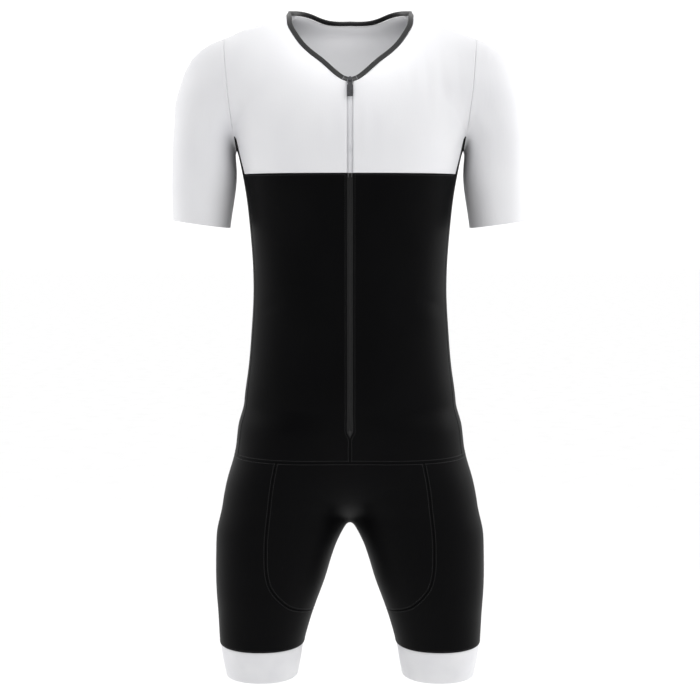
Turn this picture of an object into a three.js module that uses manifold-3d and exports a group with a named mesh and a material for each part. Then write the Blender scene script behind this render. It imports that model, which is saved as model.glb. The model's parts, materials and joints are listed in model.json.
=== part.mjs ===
// A short-sleeved triathlon suit in its worn, hollow form, seen from the front along +Y.
// Millimetres, +Z up, +X is the wearer's left. The origin is level with the sides of the neck.
// Every cloth panel lies on one smooth form, and is bounded by seams that it shares with its neighbours.
import * as THREE from "three";
import { mergeVertices } from "three/addons/utils/BufferGeometryUtils.js";
import loadSolids from "manifold-3d";

const solids = await loadSolids();
solids.setup();
const { Manifold, Mesh } = solids;

// Driving sizes of the cloth.
const WALL = 1.5;
const SEAM_GAP = 0.3;
const CELL = 22;
const CROTCH_CELL = 13;
const SLEEVE_CELL = 17;
const TIGHT_CELL = 11;
const FINE_STEPS = 96;
const CROWD_AT_ARMPIT = 1.5;

// Levels of the seams and edges.
const COLOUR_LINE_Z = -226.5;
const WAIST_Z = -627;
const GRIPPER_TOP_Z = -908;
const HEM_Z = -956;
const ZIP_END_Z = -583;

// Sleeve hem: centre height, and how far its plane leans with the outer end higher.
const SLEEVE_HEM_X = 212.8;
const SLEEVE_HEM_Z = -297;
const SLEEVE_HEM_LEAN = 0.137;

// Armhole plane: its middle, its lean, and the corners that it shares with the side panel and shoulder seam.
const ARMHOLE_CENTRE = [170.8, 0, -105];
const ARMHOLE_LEAN = 0.1;
const UNDERARM_TURN = 23;
const SHOULDER_TURN = 172;

// Side panel seams, as turns about the trunk's axis.
const SIDE_TURN_WAIST = 15;
const SIDE_TURN_CHEST = 16.3;

// Inseam plane and the pivot inside each hip from which its arch is laid.
const INSEAM_Y = 0;
const ARCH_PIVOT = [100, INSEAM_Y, -715];
const CROTCH_PIVOT = [0, INSEAM_Y, -690];
const HIP_CORE_SPREAD = 60;

// Neck binding and zip.
const NECK_AXIS_Y = 12;
const NECK_SHOULDER_TURN = 16;
const BINDING_WIDTH = 7;
const BINDING_PROUD = 0.5;
const BINDING_THICK = 2;
const ZIP_REVEAL = 4.2;
const ZIP_CLOSE_LENGTH = 10;
const ZIP_DIP_LENGTH = 3;
const ZIP_TAIL_LENGTH = 14;
const TAPE_WIDTH = 13;
const TAPE_UNDER = 2.1;
const TAPE_THICK = 1;
const CHAIN_HALF = 2.3;
const CHAIN_UNDER = 0.6;
const CHAIN_THICK = 2.4;
const SLIDER_Z = -100;
const SLIDER_HALF = 3.4;
const SLIDER_LENGTH = 9;
const SLIDER_THICK = 2.6;
const SLIDER_FOOT = -0.3;
const BAIL_Y = -0.5;
const BAIL_WIDE = 1.6;
const BAIL_WIRE = 1;
const BAIL_OPEN = 2.6;
const BAIL_REACH = 2;
const BAIL_SUNK = 0.1;
const TAB_HALF = 4;
const TAB_NECK_HALF = 2.8;
const TAB_NECK_LENGTH = 7.5;
const TAB_SHOULDER = 9.5;
const TAB_CORNER = 0.9;
const TAB_LENGTH = 25.5;
const TAB_THICK = 1.5;
const TAB_SLOT_WIDE = 3.2;
const TAB_SLOT_LONG = 4.2;
const TAB_SLOT_CORNER = 0.4;

// Trunk sections: level, half width, front and back depth, squareness.
const TRUNK = table(["z", "half", "front", "back", "square"], [
  [60, 72, 36, 60, 2.1],
  [30, 76, 38, 62, 2.1],
  [8, 87, 42, 66, 2.1],
  [-2, 91.5, 45, 69.5, 2.1],
  [-8, 106, 47.5, 72, 2.1],
  [-20, 142, 54, 80, 2.1],
  [-34, 160, 62, 87, 2.2],
  [-56, 175, 73, 96, 2.3],
  [-90, 177, 89, 105, 2.4],
  [-130, 172, 102, 111, 2.5],
  [-168, 164.5, 112, 111, 2.5],
  [-200, 158.5, 117, 109, 2.5],
  [-228, 153, 118, 106, 2.5],
  [-262, 147.5, 117, 100, 2.5],
  [-300, 143.5, 114, 94, 2.5],
  [-345, 140, 111, 88, 2.5],
  [-400, 139, 109, 86, 2.5],
  [-450, 142, 109, 89, 2.5],
  [-505, 147, 110, 97, 2.5],
  [-560, 153.5, 109, 108, 2.4],
  [-610, 149.5, 103, 115, 2.4],
  [-655, 138, 91, 110, 2.3],
  [-690, 104, 70, 88, 2.2],
  [-715, 64, 44, 54, 2.1],
  [-735, 34, 24, 30, 2.1],
  [-745, 22, 15, 20, 2.1],
]);

// Leg sections: level, centre across, half width, front and back depth, squareness.
const LEG = table(["z", "centre", "half", "front", "back", "square"], [
  [-520, 48, 46, 52, 52, 2.2],
  [-560, 62, 68, 78, 80, 2.2],
  [-590, 71, 81, 90, 95, 2.2],
  [-620, 78, 83.5, 93, 103, 2.2],
  [-655, 85, 90, 94, 108, 2.2],
  [-690, 92, 91.5, 94, 108, 2.2],
  [-716, 98, 90.5, 93, 103, 2.2],
  [-740, 103.5, 90.5, 91, 97, 2.2],
  [-764, 108.5, 87.2, 89, 92, 2.2],
  [-788, 112.7, 83.5, 87, 88, 2.2],
  [-812, 116.3, 80, 84, 84, 2.2],
  [-836, 120.2, 75.2, 81, 80, 2.2],
  [-860, 123.7, 70, 77, 75, 2.2],
  [-884, 126.8, 65.7, 73, 71, 2.2],
  [-908, 129.2, 62, 69, 67, 2.2],
  [-932, 129.6, 58.6, 65, 63, 2.2],
  [-957, 129.5, 54, 61, 60, 2.2],
  [-1000, 129, 50, 58, 57, 2.2],
]);

// Arm sections, with the same columns as the leg.
const ARM = table(["z", "centre", "half", "front", "back", "square"], [
  [-60, 170, 50, 56, 58, 2.1],
  [-95, 181, 54, 57, 60, 2.1],
  [-120, 190, 55.8, 58, 61, 2.1],
  [-150, 200, 50.7, 57, 60, 2.1],
  [-172, 207, 45.6, 56, 59, 2.1],
  [-190, 209.2, 44.3, 55, 58, 2.1],
  [-219, 208.5, 45.8, 54, 56, 2.1],
  [-262, 210.6, 44.5, 53, 54, 2.1],
  [-296, 212.8, 41.4, 52, 51, 2.1],
  [-340, 215, 39, 50, 50, 2.1],
]);
const ARM_AXIS = [[180, 0, -105], [212.8, 0, -297]];
const SHOULDER_BALL = { centre: [181, 2, -100], radii: [57, 58, 58] };

// Where each rounded form is closed, and how softly neighbouring forms run together.
const TRUNK_END_Z = -703;
const TRUNK_END_SOFT = 70;
const LEG_START_Z = -560;
const LEG_START_SOFT = 40;
const ARM_START_Z = -105;
const ARM_END_Z = -345;
const ARM_SOFT = 30;
const ARM_END_SOFT = 10;
const BLEND_SHOULDER = 42;
const BLEND_ARMPIT = 10;
const BLEND_CROTCH = 42;
const BLEND_HIP = 40;
const BLEND_HIP_ENDS = 10;

// Neckline: turn about the neck's axis from the front to the back, and its level.
// The row past the middle of the back mirrors the one before it, so that the line is level there.
const NECKLINE = table(["turn", "z"], [
  [-90, -102.5],
  [-84, -99.5],
  [-78, -92],
  [-66, -74],
  [-57, -62.5],
  [-49, -50.5],
  [-41, -35.5],
  [-34, -22.5],
  [-28, -12.5],
  [-20, -5.2],
  [-8, -0.5],
  [8, 1.4],
  [22, 2.5],
  [35, 0.8],
  [47, -3],
  [60, -6.3],
  [90, -7.3],
  [120, -6.3],
]);

// Front leg seam in the order of its stitches: level, and turn about the leg's axis.
const LEG_SEAM = table(["step", "z", "turn"], [
  [0, -627, -76.5],
  [1, -666, -76.2],
  [2, -699, -77.9],
  [3, -734, -80.2],
  [4, -764, -83.4],
  [5, -792, -87.2],
  [6, -812, -93.2],
  [7, -828, -103.5],
  [8, -840.5, -115.6],
  [9, -849, -135.4],
  [10, -855, -160],
  [11, -857, -180],
]);

const LEG_SEAM_BEND = 7;

const CLOTH_BLACK = 0x0b0b0c;
const CLOTH_WHITE = 0xf0f0f2;
const BINDING_GREY = 0x3c3c40;
const METAL_GREY = 0x4a4a4e;
const COIL_GREY = 0x8e8e92;

// A natural cubic curve through each column of a short table, by its first column.
function table(names, rows) {
  const sorted = [...rows].sort((a, b) => a[0] - b[0]);
  const keys = sorted.map((row) => row[0]);
  const curves = {};
  names.slice(1).forEach((name, index) => {
    const values = sorted.map((row) => row[index + 1]);
    curves[name] = { values, bends: curveBends(keys, values) };
  });
  return { keys, curves, first: keys[0], last: keys[keys.length - 1] };
}

function curveBends(keys, values) {
  const count = keys.length;
  const factor = new Array(count).fill(0);
  const right = new Array(count).fill(0);
  for (let i = 1; i < count - 1; i += 1) {
    const before = keys[i] - keys[i - 1];
    const after = keys[i + 1] - keys[i];
    const slopeChange = (values[i + 1] - values[i]) / after - (values[i] - values[i - 1]) / before;
    const pivot = 2 * (before + after) - before * factor[i - 1];
    factor[i] = after / pivot;
    right[i] = (6 * slopeChange - before * right[i - 1]) / pivot;
  }
  const bends = new Array(count).fill(0);
  for (let i = count - 2; i > 0; i -= 1) {
    bends[i] = right[i] - factor[i] * bends[i + 1];
  }
  return bends;
}

function read(tab, name, key) {
  const at = Math.min(Math.max(key, tab.first), tab.last);
  const keys = tab.keys;
  let low = 0;
  let high = keys.length - 1;
  while (high - low > 1) {
    const middle = (low + high) >> 1;
    if (keys[middle] > at) high = middle;
    else low = middle;
  }
  const { values, bends } = tab.curves[name];
  const span = keys[high] - keys[low];
  const up = (at - keys[low]) / span;
  const down = 1 - up;
  const bow = (down ** 3 - down) * bends[low] + (up ** 3 - up) * bends[high];
  return down * values[low] + up * values[high] + (bow * span * span) / 6;
}

// Small vector helpers on plain triples.
const add = (a, b, scale = 1) => [a[0] + b[0] * scale, a[1] + b[1] * scale, a[2] + b[2] * scale];
const sub = (a, b) => add(a, b, -1);
const dot = (a, b) => a[0] * b[0] + a[1] * b[1] + a[2] * b[2];
const cross = (a, b) => [a[1] * b[2] - a[2] * b[1], a[2] * b[0] - a[0] * b[2], a[0] * b[1] - a[1] * b[0]];
const size = (a) => Math.hypot(a[0], a[1], a[2]);
const unit = (a) => add([0, 0, 0], a, 1 / (size(a) || 1));
const mix = (a, b, t) => add(a, sub(b, a), t);
const mirror = (a) => [-a[0], a[1], a[2]];
const radians = (degrees) => (degrees * Math.PI) / 180;
const around = (turn) => [Math.cos(radians(turn)), Math.sin(radians(turn)), 0];

const softMin = (a, b, soft) => {
  const overlap = Math.max(soft - Math.abs(a - b), 0) / soft;
  return Math.min(a, b) - (overlap * overlap * soft) / 4;
};
const softMax = (a, b, soft) => -softMin(-a, -b, soft);
const ramp = (value, from, to) => {
  const t = Math.min(Math.max((value - from) / (to - from), 0), 1);
  return t * t * (3 - 2 * t);
};

// How many times its own size a rounded slice must grow to reach the point.
function reach(tab, centred, x, y, z) {
  const centre = centred ? read(tab, "centre", z) : 0;
  const across = Math.abs(x - centre) / read(tab, "half", z);
  const along = Math.abs(y) / read(tab, y < 0 ? "front" : "back", z);
  const square = read(tab, "square", z);
  return (across ** square + along ** square + 1e-12) ** (1 / square);
}

// The reach turned into a distance by dividing by how fast it grows.
function loft(tab, centred, x, y, z) {
  const probe = 0.5;
  const here = reach(tab, centred, x, y, z);
  const growX = (reach(tab, centred, x + probe, y, z) - here) / probe;
  const growY = (reach(tab, centred, x, y + probe, z) - here) / probe;
  const growZ = (reach(tab, centred, x, y, z + probe) - here) / probe;
  return (here - 1) / Math.sqrt(growX ** 2 + growY ** 2 + growZ ** 2 + 1e-10);
}

function shoulderBall(x, y, z) {
  const { centre, radii } = SHOULDER_BALL;
  const u = (x - centre[0]) / radii[0];
  const v = (y - centre[1]) / radii[1];
  const w = (z - centre[2]) / radii[2];
  const q = Math.hypot(u, v, w) + 1e-9;
  const growth = Math.hypot(u / radii[0], v / radii[1], w / radii[2]) / q;
  return (q - 1) / (growth + 1e-9);
}

// The form that the cloth lies on: below zero inside, about a distance in millimetres outside.
function form(p) {
  const [x, y, z] = p;
  const side = Math.abs(x);
  const trunk = softMax(loft(TRUNK, false, x, y, z), TRUNK_END_Z - z, TRUNK_END_SOFT);
  let whole = trunk;
  if (z > ARM_END_Z - 60 && side > 60) {
    let tube = softMax(loft(ARM, true, side, y, z), z - ARM_START_Z, ARM_SOFT);
    tube = softMax(tube, ARM_END_Z - z, ARM_END_SOFT);
    const arm = softMin(tube, shoulderBall(side, y, z), ARM_SOFT);
    const blend = BLEND_ARMPIT + (BLEND_SHOULDER - BLEND_ARMPIT) * ramp(z, -172, -95);
    whole = softMin(whole, arm, blend);
  }
  if (z < LEG_START_Z + 100) {
    const left = softMax(loft(LEG, true, x, y, z), z - LEG_START_Z, LEG_START_SOFT);
    const right = softMax(loft(LEG, true, -x, y, z), z - LEG_START_Z, LEG_START_SOFT);
    const legs = softMin(left, right, BLEND_CROTCH);
    const fade = ramp(z, -510, -590) * ramp(z, -755, -690);
    whole = softMin(whole, legs, BLEND_HIP_ENDS + (BLEND_HIP - BLEND_HIP_ENDS) * fade);
  }
  return whole;
}

function slope(p) {
  const probe = 0.4;
  return [0, 1, 2].map((axis) => {
    const step = [0, 0, 0];
    step[axis] = probe;
    return (form(add(p, step)) - form(sub(p, step))) / (2 * probe);
  });
}

// Moves a point to the form's surface along the steepest way.
function settle(p) {
  let at = p;
  for (let i = 0; i < 14; i += 1) {
    const value = form(at);
    if (Math.abs(value) < 0.005) break;
    const steep = slope(at);
    const step = Math.min(Math.max(value / (dot(steep, steep) + 1e-6), -15), 15);
    at = add(at, steep, -step);
  }
  return at;
}

// Goes out from a point inside the form until it meets the cloth.
function cast(origin, towards) {
  const way = unit(towards);
  let inside = 0;
  let outside = null;
  let at = 0;
  for (let i = 0; i < 200 && outside === null; i += 1) {
    const value = form(add(origin, way, at));
    if (value >= 0) outside = at;
    else {
      inside = at;
      at += Math.max(-value * 0.6, 0.15);
    }
  }
  for (let i = 0; i < 24; i += 1) {
    const middle = (inside + outside) / 2;
    if (form(add(origin, way, middle)) < 0) inside = middle;
    else outside = middle;
  }
  return add(origin, way, inside);
}

// A seam: a fine line of points on the form, and the coarser stations its panels share.
function seam(points, cell = CELL) {
  const lengths = [0];
  for (let i = 1; i < points.length; i += 1) {
    lengths.push(lengths[i - 1] + size(sub(points[i], points[i - 1])));
  }
  return { points, lengths, cell, total: lengths[lengths.length - 1] };
}

function along(line, share) {
  const goal = share * line.total;
  let low = 0;
  let high = line.points.length - 1;
  while (high - low > 1) {
    const middle = (low + high) >> 1;
    if (line.lengths[middle] > goal) high = middle;
    else low = middle;
  }
  const span = line.lengths[high] - line.lengths[low];
  return mix(line.points[low], line.points[high], span > 0 ? (goal - line.lengths[low]) / span : 0);
}

function lay(place, start = null, end = null, steps = FINE_STEPS) {
  const points = [];
  for (let i = 0; i <= steps; i += 1) points.push(place(i / steps));
  if (start) points[0] = start;
  if (end) points[steps] = end;
  return seam(points);
}

function stations(line) {
  const count = Math.max(1, Math.round(line.total / line.cell));
  const found = [];
  for (let i = 0; i <= count; i += 1) found.push(along(line, i / count));
  return found;
}

const reversed = (line) => seam([...line.points].reverse(), line.cell);
const mirrored = (line) => seam(line.points.map(mirror), line.cell);
const tight = (line) => seam(line.points, TIGHT_CELL);
const joined = (lines) => seam(lines.flatMap((line, i) => (i ? line.points.slice(1) : line.points)));

function joinedStations(lines) {
  return lines.flatMap((line, i) => (i ? stations(line).slice(1) : stations(line)));
}

// The seams of the wearer's left side.
function laySeams() {
  const lerp = (a, b, t) => a + (b - a) * t;
  const trunkPoint = (z, turn) => cast([0, 0, z], around(turn));
  const ringWay = (turn) => {
    const up = unit([ARMHOLE_LEAN, 0, 1]);
    const front = [0, -1, 0];
    return add(add([0, 0, 0], up, -Math.cos(radians(turn))), front, Math.sin(radians(turn)));
  };
  const armholePoint = (turn) => cast(ARMHOLE_CENTRE, ringWay(turn));
  const neckPoint = (turn) => cast([0, NECK_AXIS_Y, read(NECKLINE, "z", turn)], around(turn));
  const legPoint = (z, turn) => cast([read(LEG, "centre", z), 0, z], around(turn));

  const underFront = armholePoint(UNDERARM_TURN);
  const underBack = armholePoint(360 - UNDERARM_TURN);
  const apex = armholePoint(0);
  const shoulderTip = armholePoint(360 - SHOULDER_TURN);
  const neckSide = neckPoint(NECK_SHOULDER_TURN);

  // The zip edge lies a little off the middle and closes to the middle below the zip.
  const zipEdge = (z) => ZIP_REVEAL * ramp(z, ZIP_END_Z - ZIP_CLOSE_LENGTH, ZIP_END_Z);
  const frontPoint = (x, z) => cast([x, 0, z], [0, -1, 0]);
  const neckFront = frontPoint(ZIP_REVEAL, read(NECKLINE, "z", -87.5));
  const colourFront = frontPoint(ZIP_REVEAL, COLOUR_LINE_Z);
  const waistFront = frontPoint(0, WAIST_Z);
  const zipFoot = frontPoint(ZIP_REVEAL, ZIP_END_Z);
  const zipClosed = frontPoint(0, ZIP_END_Z - ZIP_CLOSE_LENGTH);
  const edgeRun = (from, to, start, end) => lay((t) => {
    const z = lerp(from, to, t);
    return frontPoint(zipEdge(z), z);
  }, start, end);
  const middleUpper = edgeRun(COLOUR_LINE_Z, neckFront[2], colourFront, neckFront);
  const middleLower = edgeRun(ZIP_END_Z, COLOUR_LINE_Z, zipFoot, colourFront);
  const middleEnd = edgeRun(zipClosed[2], ZIP_END_Z, zipClosed, zipFoot);
  const middleClosed = edgeRun(WAIST_Z, zipClosed[2], waistFront, zipClosed);

  const colourSideFront = trunkPoint(COLOUR_LINE_Z, -SIDE_TURN_CHEST);
  const colourSideBack = trunkPoint(COLOUR_LINE_Z, SIDE_TURN_CHEST);
  const ring = (z, from, to, start, end, steps = FINE_STEPS) =>
    lay((t) => trunkPoint(z, lerp(from, to, t)), start, end, steps);
  const turnOf = (p) => (Math.atan2(p[1], p[0]) * 180) / Math.PI;
  const colourLine = ring(COLOUR_LINE_Z, turnOf(colourFront), -SIDE_TURN_CHEST, colourFront, colourSideFront);
  const colourBackHalf = ring(COLOUR_LINE_Z, SIDE_TURN_CHEST, 90, colourSideBack, null);

  const sideUpper = (corner, sign) => {
    const pivot = [120, corner[1], (COLOUR_LINE_Z + corner[2]) / 2];
    const start = sign < 0 ? colourSideFront : colourSideBack;
    return lay((t) => cast(pivot, sub(mix(start, corner, t), pivot)), start, corner);
  };
  const sideLower = (sign) => lay((t) => {
    const turn = lerp(SIDE_TURN_WAIST, SIDE_TURN_CHEST, t);
    return trunkPoint(lerp(WAIST_Z, COLOUR_LINE_Z, t), sign * turn);
  }, null, null, 3 * FINE_STEPS);

  const armRing = (from, to) => lay((t) => armholePoint(lerp(from, to, t)));
  const shoulderRow = (t) => {
    const goal = mix(shoulderTip, neckSide, t);
    const below = [lerp(165, 50, t), goal[1] + 6, lerp(-120, -60, t)];
    return cast(below, sub(goal, below));
  };

  const legTop = legPoint(WAIST_Z, read(LEG_SEAM, "turn", 0));
  const legTopBack = legPoint(WAIST_Z, -read(LEG_SEAM, "turn", 0));
  const inseamPoint = (z) => cast([read(LEG, "centre", z), INSEAM_Y, z], [-1, 0, 0]);
  const seamEnd = read(LEG_SEAM, "z", LEG_SEAM.last);
  const legEnd = inseamPoint(seamEnd);
  const seamTurn = (step) => -read(LEG_SEAM, "turn", step);
  const legSeamPoint = (step, sign) => legPoint(read(LEG_SEAM, "z", step), sign * seamTurn(step));
  const legSeam = (sign, from, to, start, end) =>
    lay((t) => legSeamPoint(lerp(from, to, t), sign), start, end);
  const bendFront = legSeamPoint(LEG_SEAM_BEND, -1);
  const bendBack = legSeamPoint(LEG_SEAM_BEND, 1);
  const bendTurn = seamTurn(LEG_SEAM_BEND);
  const bendZ = read(LEG_SEAM, "z", LEG_SEAM_BEND);

  const crotch = cast(CROTCH_PIVOT, [0, 0, -1]);
  const arch = lay((t) => cast(ARCH_PIVOT, sub(mix(crotch, legEnd, t), ARCH_PIVOT)), crotch, legEnd);
  const gripperInner = inseamPoint(GRIPPER_TOP_Z);
  const hemInner = inseamPoint(HEM_Z);
  const legRing = (z, inner) => {
    const centre = read(LEG, "centre", z);
    const start = turnOf(sub(inner, [centre, 0, 0]));
    return lay((t) => legPoint(z, start + 360 * t), inner, inner, 2 * FINE_STEPS);
  };

  const hemUp = unit([SLEEVE_HEM_LEAN, 0, -1]);
  const hemOut = unit([1, 0, SLEEVE_HEM_LEAN]);
  const hemCentre = [SLEEVE_HEM_X, 0, SLEEVE_HEM_Z];
  const hemWay = (turn) => {
    const outward = add([0, 0, 0], hemOut, -Math.cos(radians(turn)));
    return add(outward, cross(hemUp, hemOut), Math.sin(radians(turn)));
  };
  const sleeveHem = lay((t) => cast(hemCentre, hemWay(360 * t)), null, null, 2 * FINE_STEPS);
  const cuffInner = sleeveHem.points[0];
  const underarm = lay((t) => {
    const z = lerp(apex[2], cuffInner[2], t);
    return cast([read(ARM, "centre", z), 0, z], [-1, 0, 0]);
  }, apex, cuffInner);

  const waistTurns = [turnOf(waistFront), turnOf(legTop), -SIDE_TURN_WAIST,
    SIDE_TURN_WAIST, turnOf(legTopBack), 90];
  const waistCorners = [waistFront, legTop, trunkPoint(WAIST_Z, -SIDE_TURN_WAIST),
    trunkPoint(WAIST_Z, SIDE_TURN_WAIST), legTopBack, null];
  const waist = waistTurns.slice(1).map((turn, i) =>
    ring(WAIST_Z, waistTurns[i], turn, waistCorners[i], waistCorners[i + 1]));

  const neckTurn = (p) => (Math.atan2(p[1] - NECK_AXIS_Y, p[0]) * 180) / Math.PI;
  const neckRun = (t) => neckPoint(lerp(neckTurn(neckFront), NECK_SHOULDER_TURN, t));
  const neckFrontLine = lay(neckRun, neckFront, neckSide, 2 * FINE_STEPS);
  const neckBackHalf = lay((t) => neckPoint(lerp(NECK_SHOULDER_TURN, 90, t)), neckSide, null);

  return {
    middleUpper,
    middleLower,
    middleEnd,
    middleClosed,
    colourLine,
    colourBackHalf,
    sideUpperFront: tight(sideUpper(underFront, -1)),
    sideUpperBack: tight(sideUpper(underBack, 1)),
    sideLowerFront: sideLower(-1),
    sideLowerBack: sideLower(1),
    armUnderFront: tight(armRing(0, UNDERARM_TURN)),
    armFront: armRing(UNDERARM_TURN, 360 - SHOULDER_TURN),
    armBack: armRing(360 - SHOULDER_TURN, 360 - UNDERARM_TURN),
    armUnderBack: tight(armRing(360 - UNDERARM_TURN, 360)),
    shoulder: lay(shoulderRow, shoulderTip, neckSide),
    neckFrontLine,
    neckBackHalf,
    legSeamFront: legSeam(-1, 0, LEG_SEAM_BEND, legTop, bendFront),
    legSeamBack: legSeam(1, 0, LEG_SEAM_BEND, legTopBack, bendBack),
    legTailFront: legSeam(-1, LEG_SEAM_BEND, LEG_SEAM.last, bendFront, legEnd),
    legTailBack: legSeam(1, LEG_SEAM_BEND, LEG_SEAM.last, bendBack, legEnd),
    legCut: lay((t) => legPoint(bendZ, bendTurn * (2 * t - 1)), bendFront, bendBack),
    arch: tight(arch),
    inseam: lay((t) => inseamPoint(lerp(seamEnd, GRIPPER_TOP_Z, t)), legEnd, gripperInner),
    inseamCuff: lay((t) => inseamPoint(lerp(GRIPPER_TOP_Z, HEM_Z, t)), gripperInner, hemInner),
    gripperRing: legRing(GRIPPER_TOP_Z, gripperInner),
    hemRing: legRing(HEM_Z, hemInner),
    sleeveHem,
    underarm,
    waistInner: waist[0],
    waistOuter: waist[1],
    waistSide: waist[2],
    waistBackOuter: waist[3],
    waistBackInner: waist[4],
  };
}

// Turns four-sided patches into one sheet with thickness. Each side is a list of seams: bottom and top run
// left to right, left and right run upwards, as seen from outside. Patches share the points of a common seam.
// A patch may give a core, a way to find a place deep inside the form from which a point is then laid.
function panel(patches) {
  const sheet = { points: [], triangles: [], known: new Map() };
  for (const patch of patches) addPatch(sheet, patch);
  return thicken(sheet);
}

// The number of a seam's station in the sheet, the same for every patch that meets there.
function stationNumber(sheet, point) {
  const key = point.map((value) => Math.round(value * 1000)).join(" ");
  if (!sheet.known.has(key)) sheet.known.set(key, sheet.points.push(point) - 1);
  return sheet.known.get(key);
}

// The nearest place on the arm's axis.
function armCore(goal) {
  const [start, end] = ARM_AXIS;
  const way = sub(end, start);
  const share = dot(sub(goal, start), way) / dot(way, way);
  return mix(start, end, Math.min(Math.max(share, 0), 1));
}

// A place on the trunk's axis above the crotch, passing over to the leg's axis towards either side.
function hipCore(goal) {
  const share = Math.min(Math.abs(goal[0]) / HIP_CORE_SPREAD, 1);
  const level = Math.max(goal[2], CROTCH_PIVOT[2]);
  const legAxis = [Math.sign(goal[0]) * read(LEG, "centre", goal[2]), 0, goal[2]];
  return mix([0, 0, level], legAxis, share);
}

function addPatch(sheet, { bottom, right, top, left, rowEase = 1, cell = CELL, core = null }) {
  const lines = { bottom: joined(bottom), right: joined(right), top: joined(top), left: joined(left) };
  const columns = Math.max(2, Math.round((lines.bottom.total + lines.top.total) / 2 / cell));
  const rows = Math.max(2, Math.round((lines.left.total + lines.right.total) / 2 / cell));
  const corner = (u, v) => along(v ? lines.top : lines.bottom, u);
  const at = (u, v) => {
    const ruledUp = mix(along(lines.bottom, u), along(lines.top, u), v);
    const ruledAcross = mix(along(lines.left, v), along(lines.right, v), u);
    const flat = mix(mix(corner(0, 0), corner(1, 0), u), mix(corner(0, 1), corner(1, 1), u), v);
    const goal = sub(add(ruledUp, ruledAcross), flat);
    return core ? cast(core(goal), sub(goal, core(goal))) : settle(goal);
  };
  const us = [];
  const vs = [];
  for (let i = 1; i < columns; i += 1) us.push(i / columns);
  for (let j = 1; j < rows; j += 1) vs.push(1 - (1 - j / rows) ** rowEase);
  const inner = vs.map((v) => us.map((u) => sheet.points.push(at(u, v)) - 1));
  for (let j = 0; j + 1 < vs.length; j += 1) {
    for (let i = 0; i + 1 < us.length; i += 1) {
      sheet.triangles.push([inner[j][i], inner[j][i + 1], inner[j + 1][i + 1]]);
      sheet.triangles.push([inner[j][i], inner[j + 1][i + 1], inner[j + 1][i]]);
    }
  }

  // The strip between the seams and the outermost inner points, side by side against the clock.
  const lastRow = vs.length - 1;
  const lastColumn = us.length - 1;
  const back = (list) => [...list].reverse();
  const rest = (shares) => back(shares.map((share) => 1 - share));
  const strips = [
    [joinedStations(bottom), inner[0], us],
    [joinedStations(right), inner.map((row) => row[lastColumn]), vs],
    [back(joinedStations(top)), back(inner[lastRow]), rest(us)],
    [back(joinedStations(left)), back(inner.map((row) => row[0])), rest(vs)],
  ];
  for (const [rim, ring, shares] of strips) {
    const run = seam(rim);
    const rimShares = run.lengths.map((length) => length / run.total);
    zipTogether(sheet, rim.map((point) => stationNumber(sheet, point)), rimShares, ring, shares);
  }
}

// Fills the strip between two rows of points, going always to the nearer next share.
function zipTogether(sheet, outer, outerShares, inner, innerShares) {
  let i = 0;
  let j = 0;
  while (i < outer.length - 1 || j < inner.length - 1) {
    const nextOuter = i < outer.length - 1 ? (outerShares[i] + outerShares[i + 1]) / 2 : Infinity;
    const nextInner = j < inner.length - 1 ? (innerShares[j] + innerShares[j + 1]) / 2 : Infinity;
    if (nextOuter <= nextInner) {
      sheet.triangles.push([outer[i], outer[i + 1], inner[j]]);
      i += 1;
    } else {
      sheet.triangles.push([outer[i], inner[j + 1], inner[j]]);
      j += 1;
    }
  }
}

// The free edges of a sheet, as a map from each rim point to the next one.
function rimOf(triangles) {
  const edges = new Set(triangles.flatMap(([a, b, c]) => [`${a} ${b}`, `${b} ${c}`, `${c} ${a}`]));
  const next = new Map();
  for (const edge of edges) {
    const [from, to] = edge.split(" ").map(Number);
    if (!edges.has(`${to} ${from}`)) next.set(from, to);
  }
  return next;
}

// Draws a rim point half the seam gap into its own sheet.
function insetPoint(before, point, after, normal) {
  const inA = unit(cross(normal, sub(point, before)));
  const inB = unit(cross(normal, sub(after, point)));
  const open = Math.max(1 + dot(inA, inB), 0.35);
  return add(point, add(inA, inB), SEAM_GAP / 2 / open);
}

// One order for two points of a seam, the same from both of its panels and on both sides of the body.
function ranksFirst(a, b) {
  const differences = [a[2] - b[2], a[1] - b[1], Math.abs(a[0]) - Math.abs(b[0])];
  return differences.find((difference) => Math.abs(difference) > 1e-4) > 0;
}

// Gives a sheet its thickness, inwards from the form, and closes its rim.
// The rim's diagonals follow the seam's own order, so that twisted rims of neighbours stay parallel.
function thicken({ points, triangles }) {
  const next = rimOf(triangles);
  const before = new Map([...next].map(([from, to]) => [to, from]));
  const normals = points.map((p) => unit(slope(p)));
  const outer = points.map((p, i) =>
    next.has(i) ? insetPoint(points[before.get(i)], p, points[next.get(i)], normals[i]) : p);
  const inner = outer.map((p, i) => add(p, normals[i], -WALL));
  const shift = points.length;
  const faces = [...triangles, ...triangles.map(([a, b, c]) => [a + shift, c + shift, b + shift])];
  for (const [here, there] of next) {
    if (ranksFirst(points[here], points[there])) {
      faces.push([here, here + shift, there + shift], [here, there + shift, there]);
    } else {
      faces.push([here, here + shift, there], [there, here + shift, there + shift]);
    }
  }
  return { points: [...outer, ...inner], faces };
}

// A closed body swept through rails: each rail is one line of points, and the rails go round its section.
function sweep(rails) {
  const count = rails[0].length;
  const points = rails.flat();
  const faces = [];
  rails.forEach((rail, r) => {
    const here = r * count;
    const next = ((r + 1) % rails.length) * count;
    for (let i = 0; i + 1 < count; i += 1) {
      faces.push([here + i, next + i, next + i + 1]);
      faces.push([here + i, next + i + 1, here + i + 1]);
    }
  });
  for (let r = 1; r + 1 < rails.length; r += 1) {
    faces.push([0, (r + 1) * count, r * count]);
    const end = count - 1;
    faces.push([end, r * count + end, (r + 1) * count + end]);
  }
  return { points, faces };
}

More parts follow.
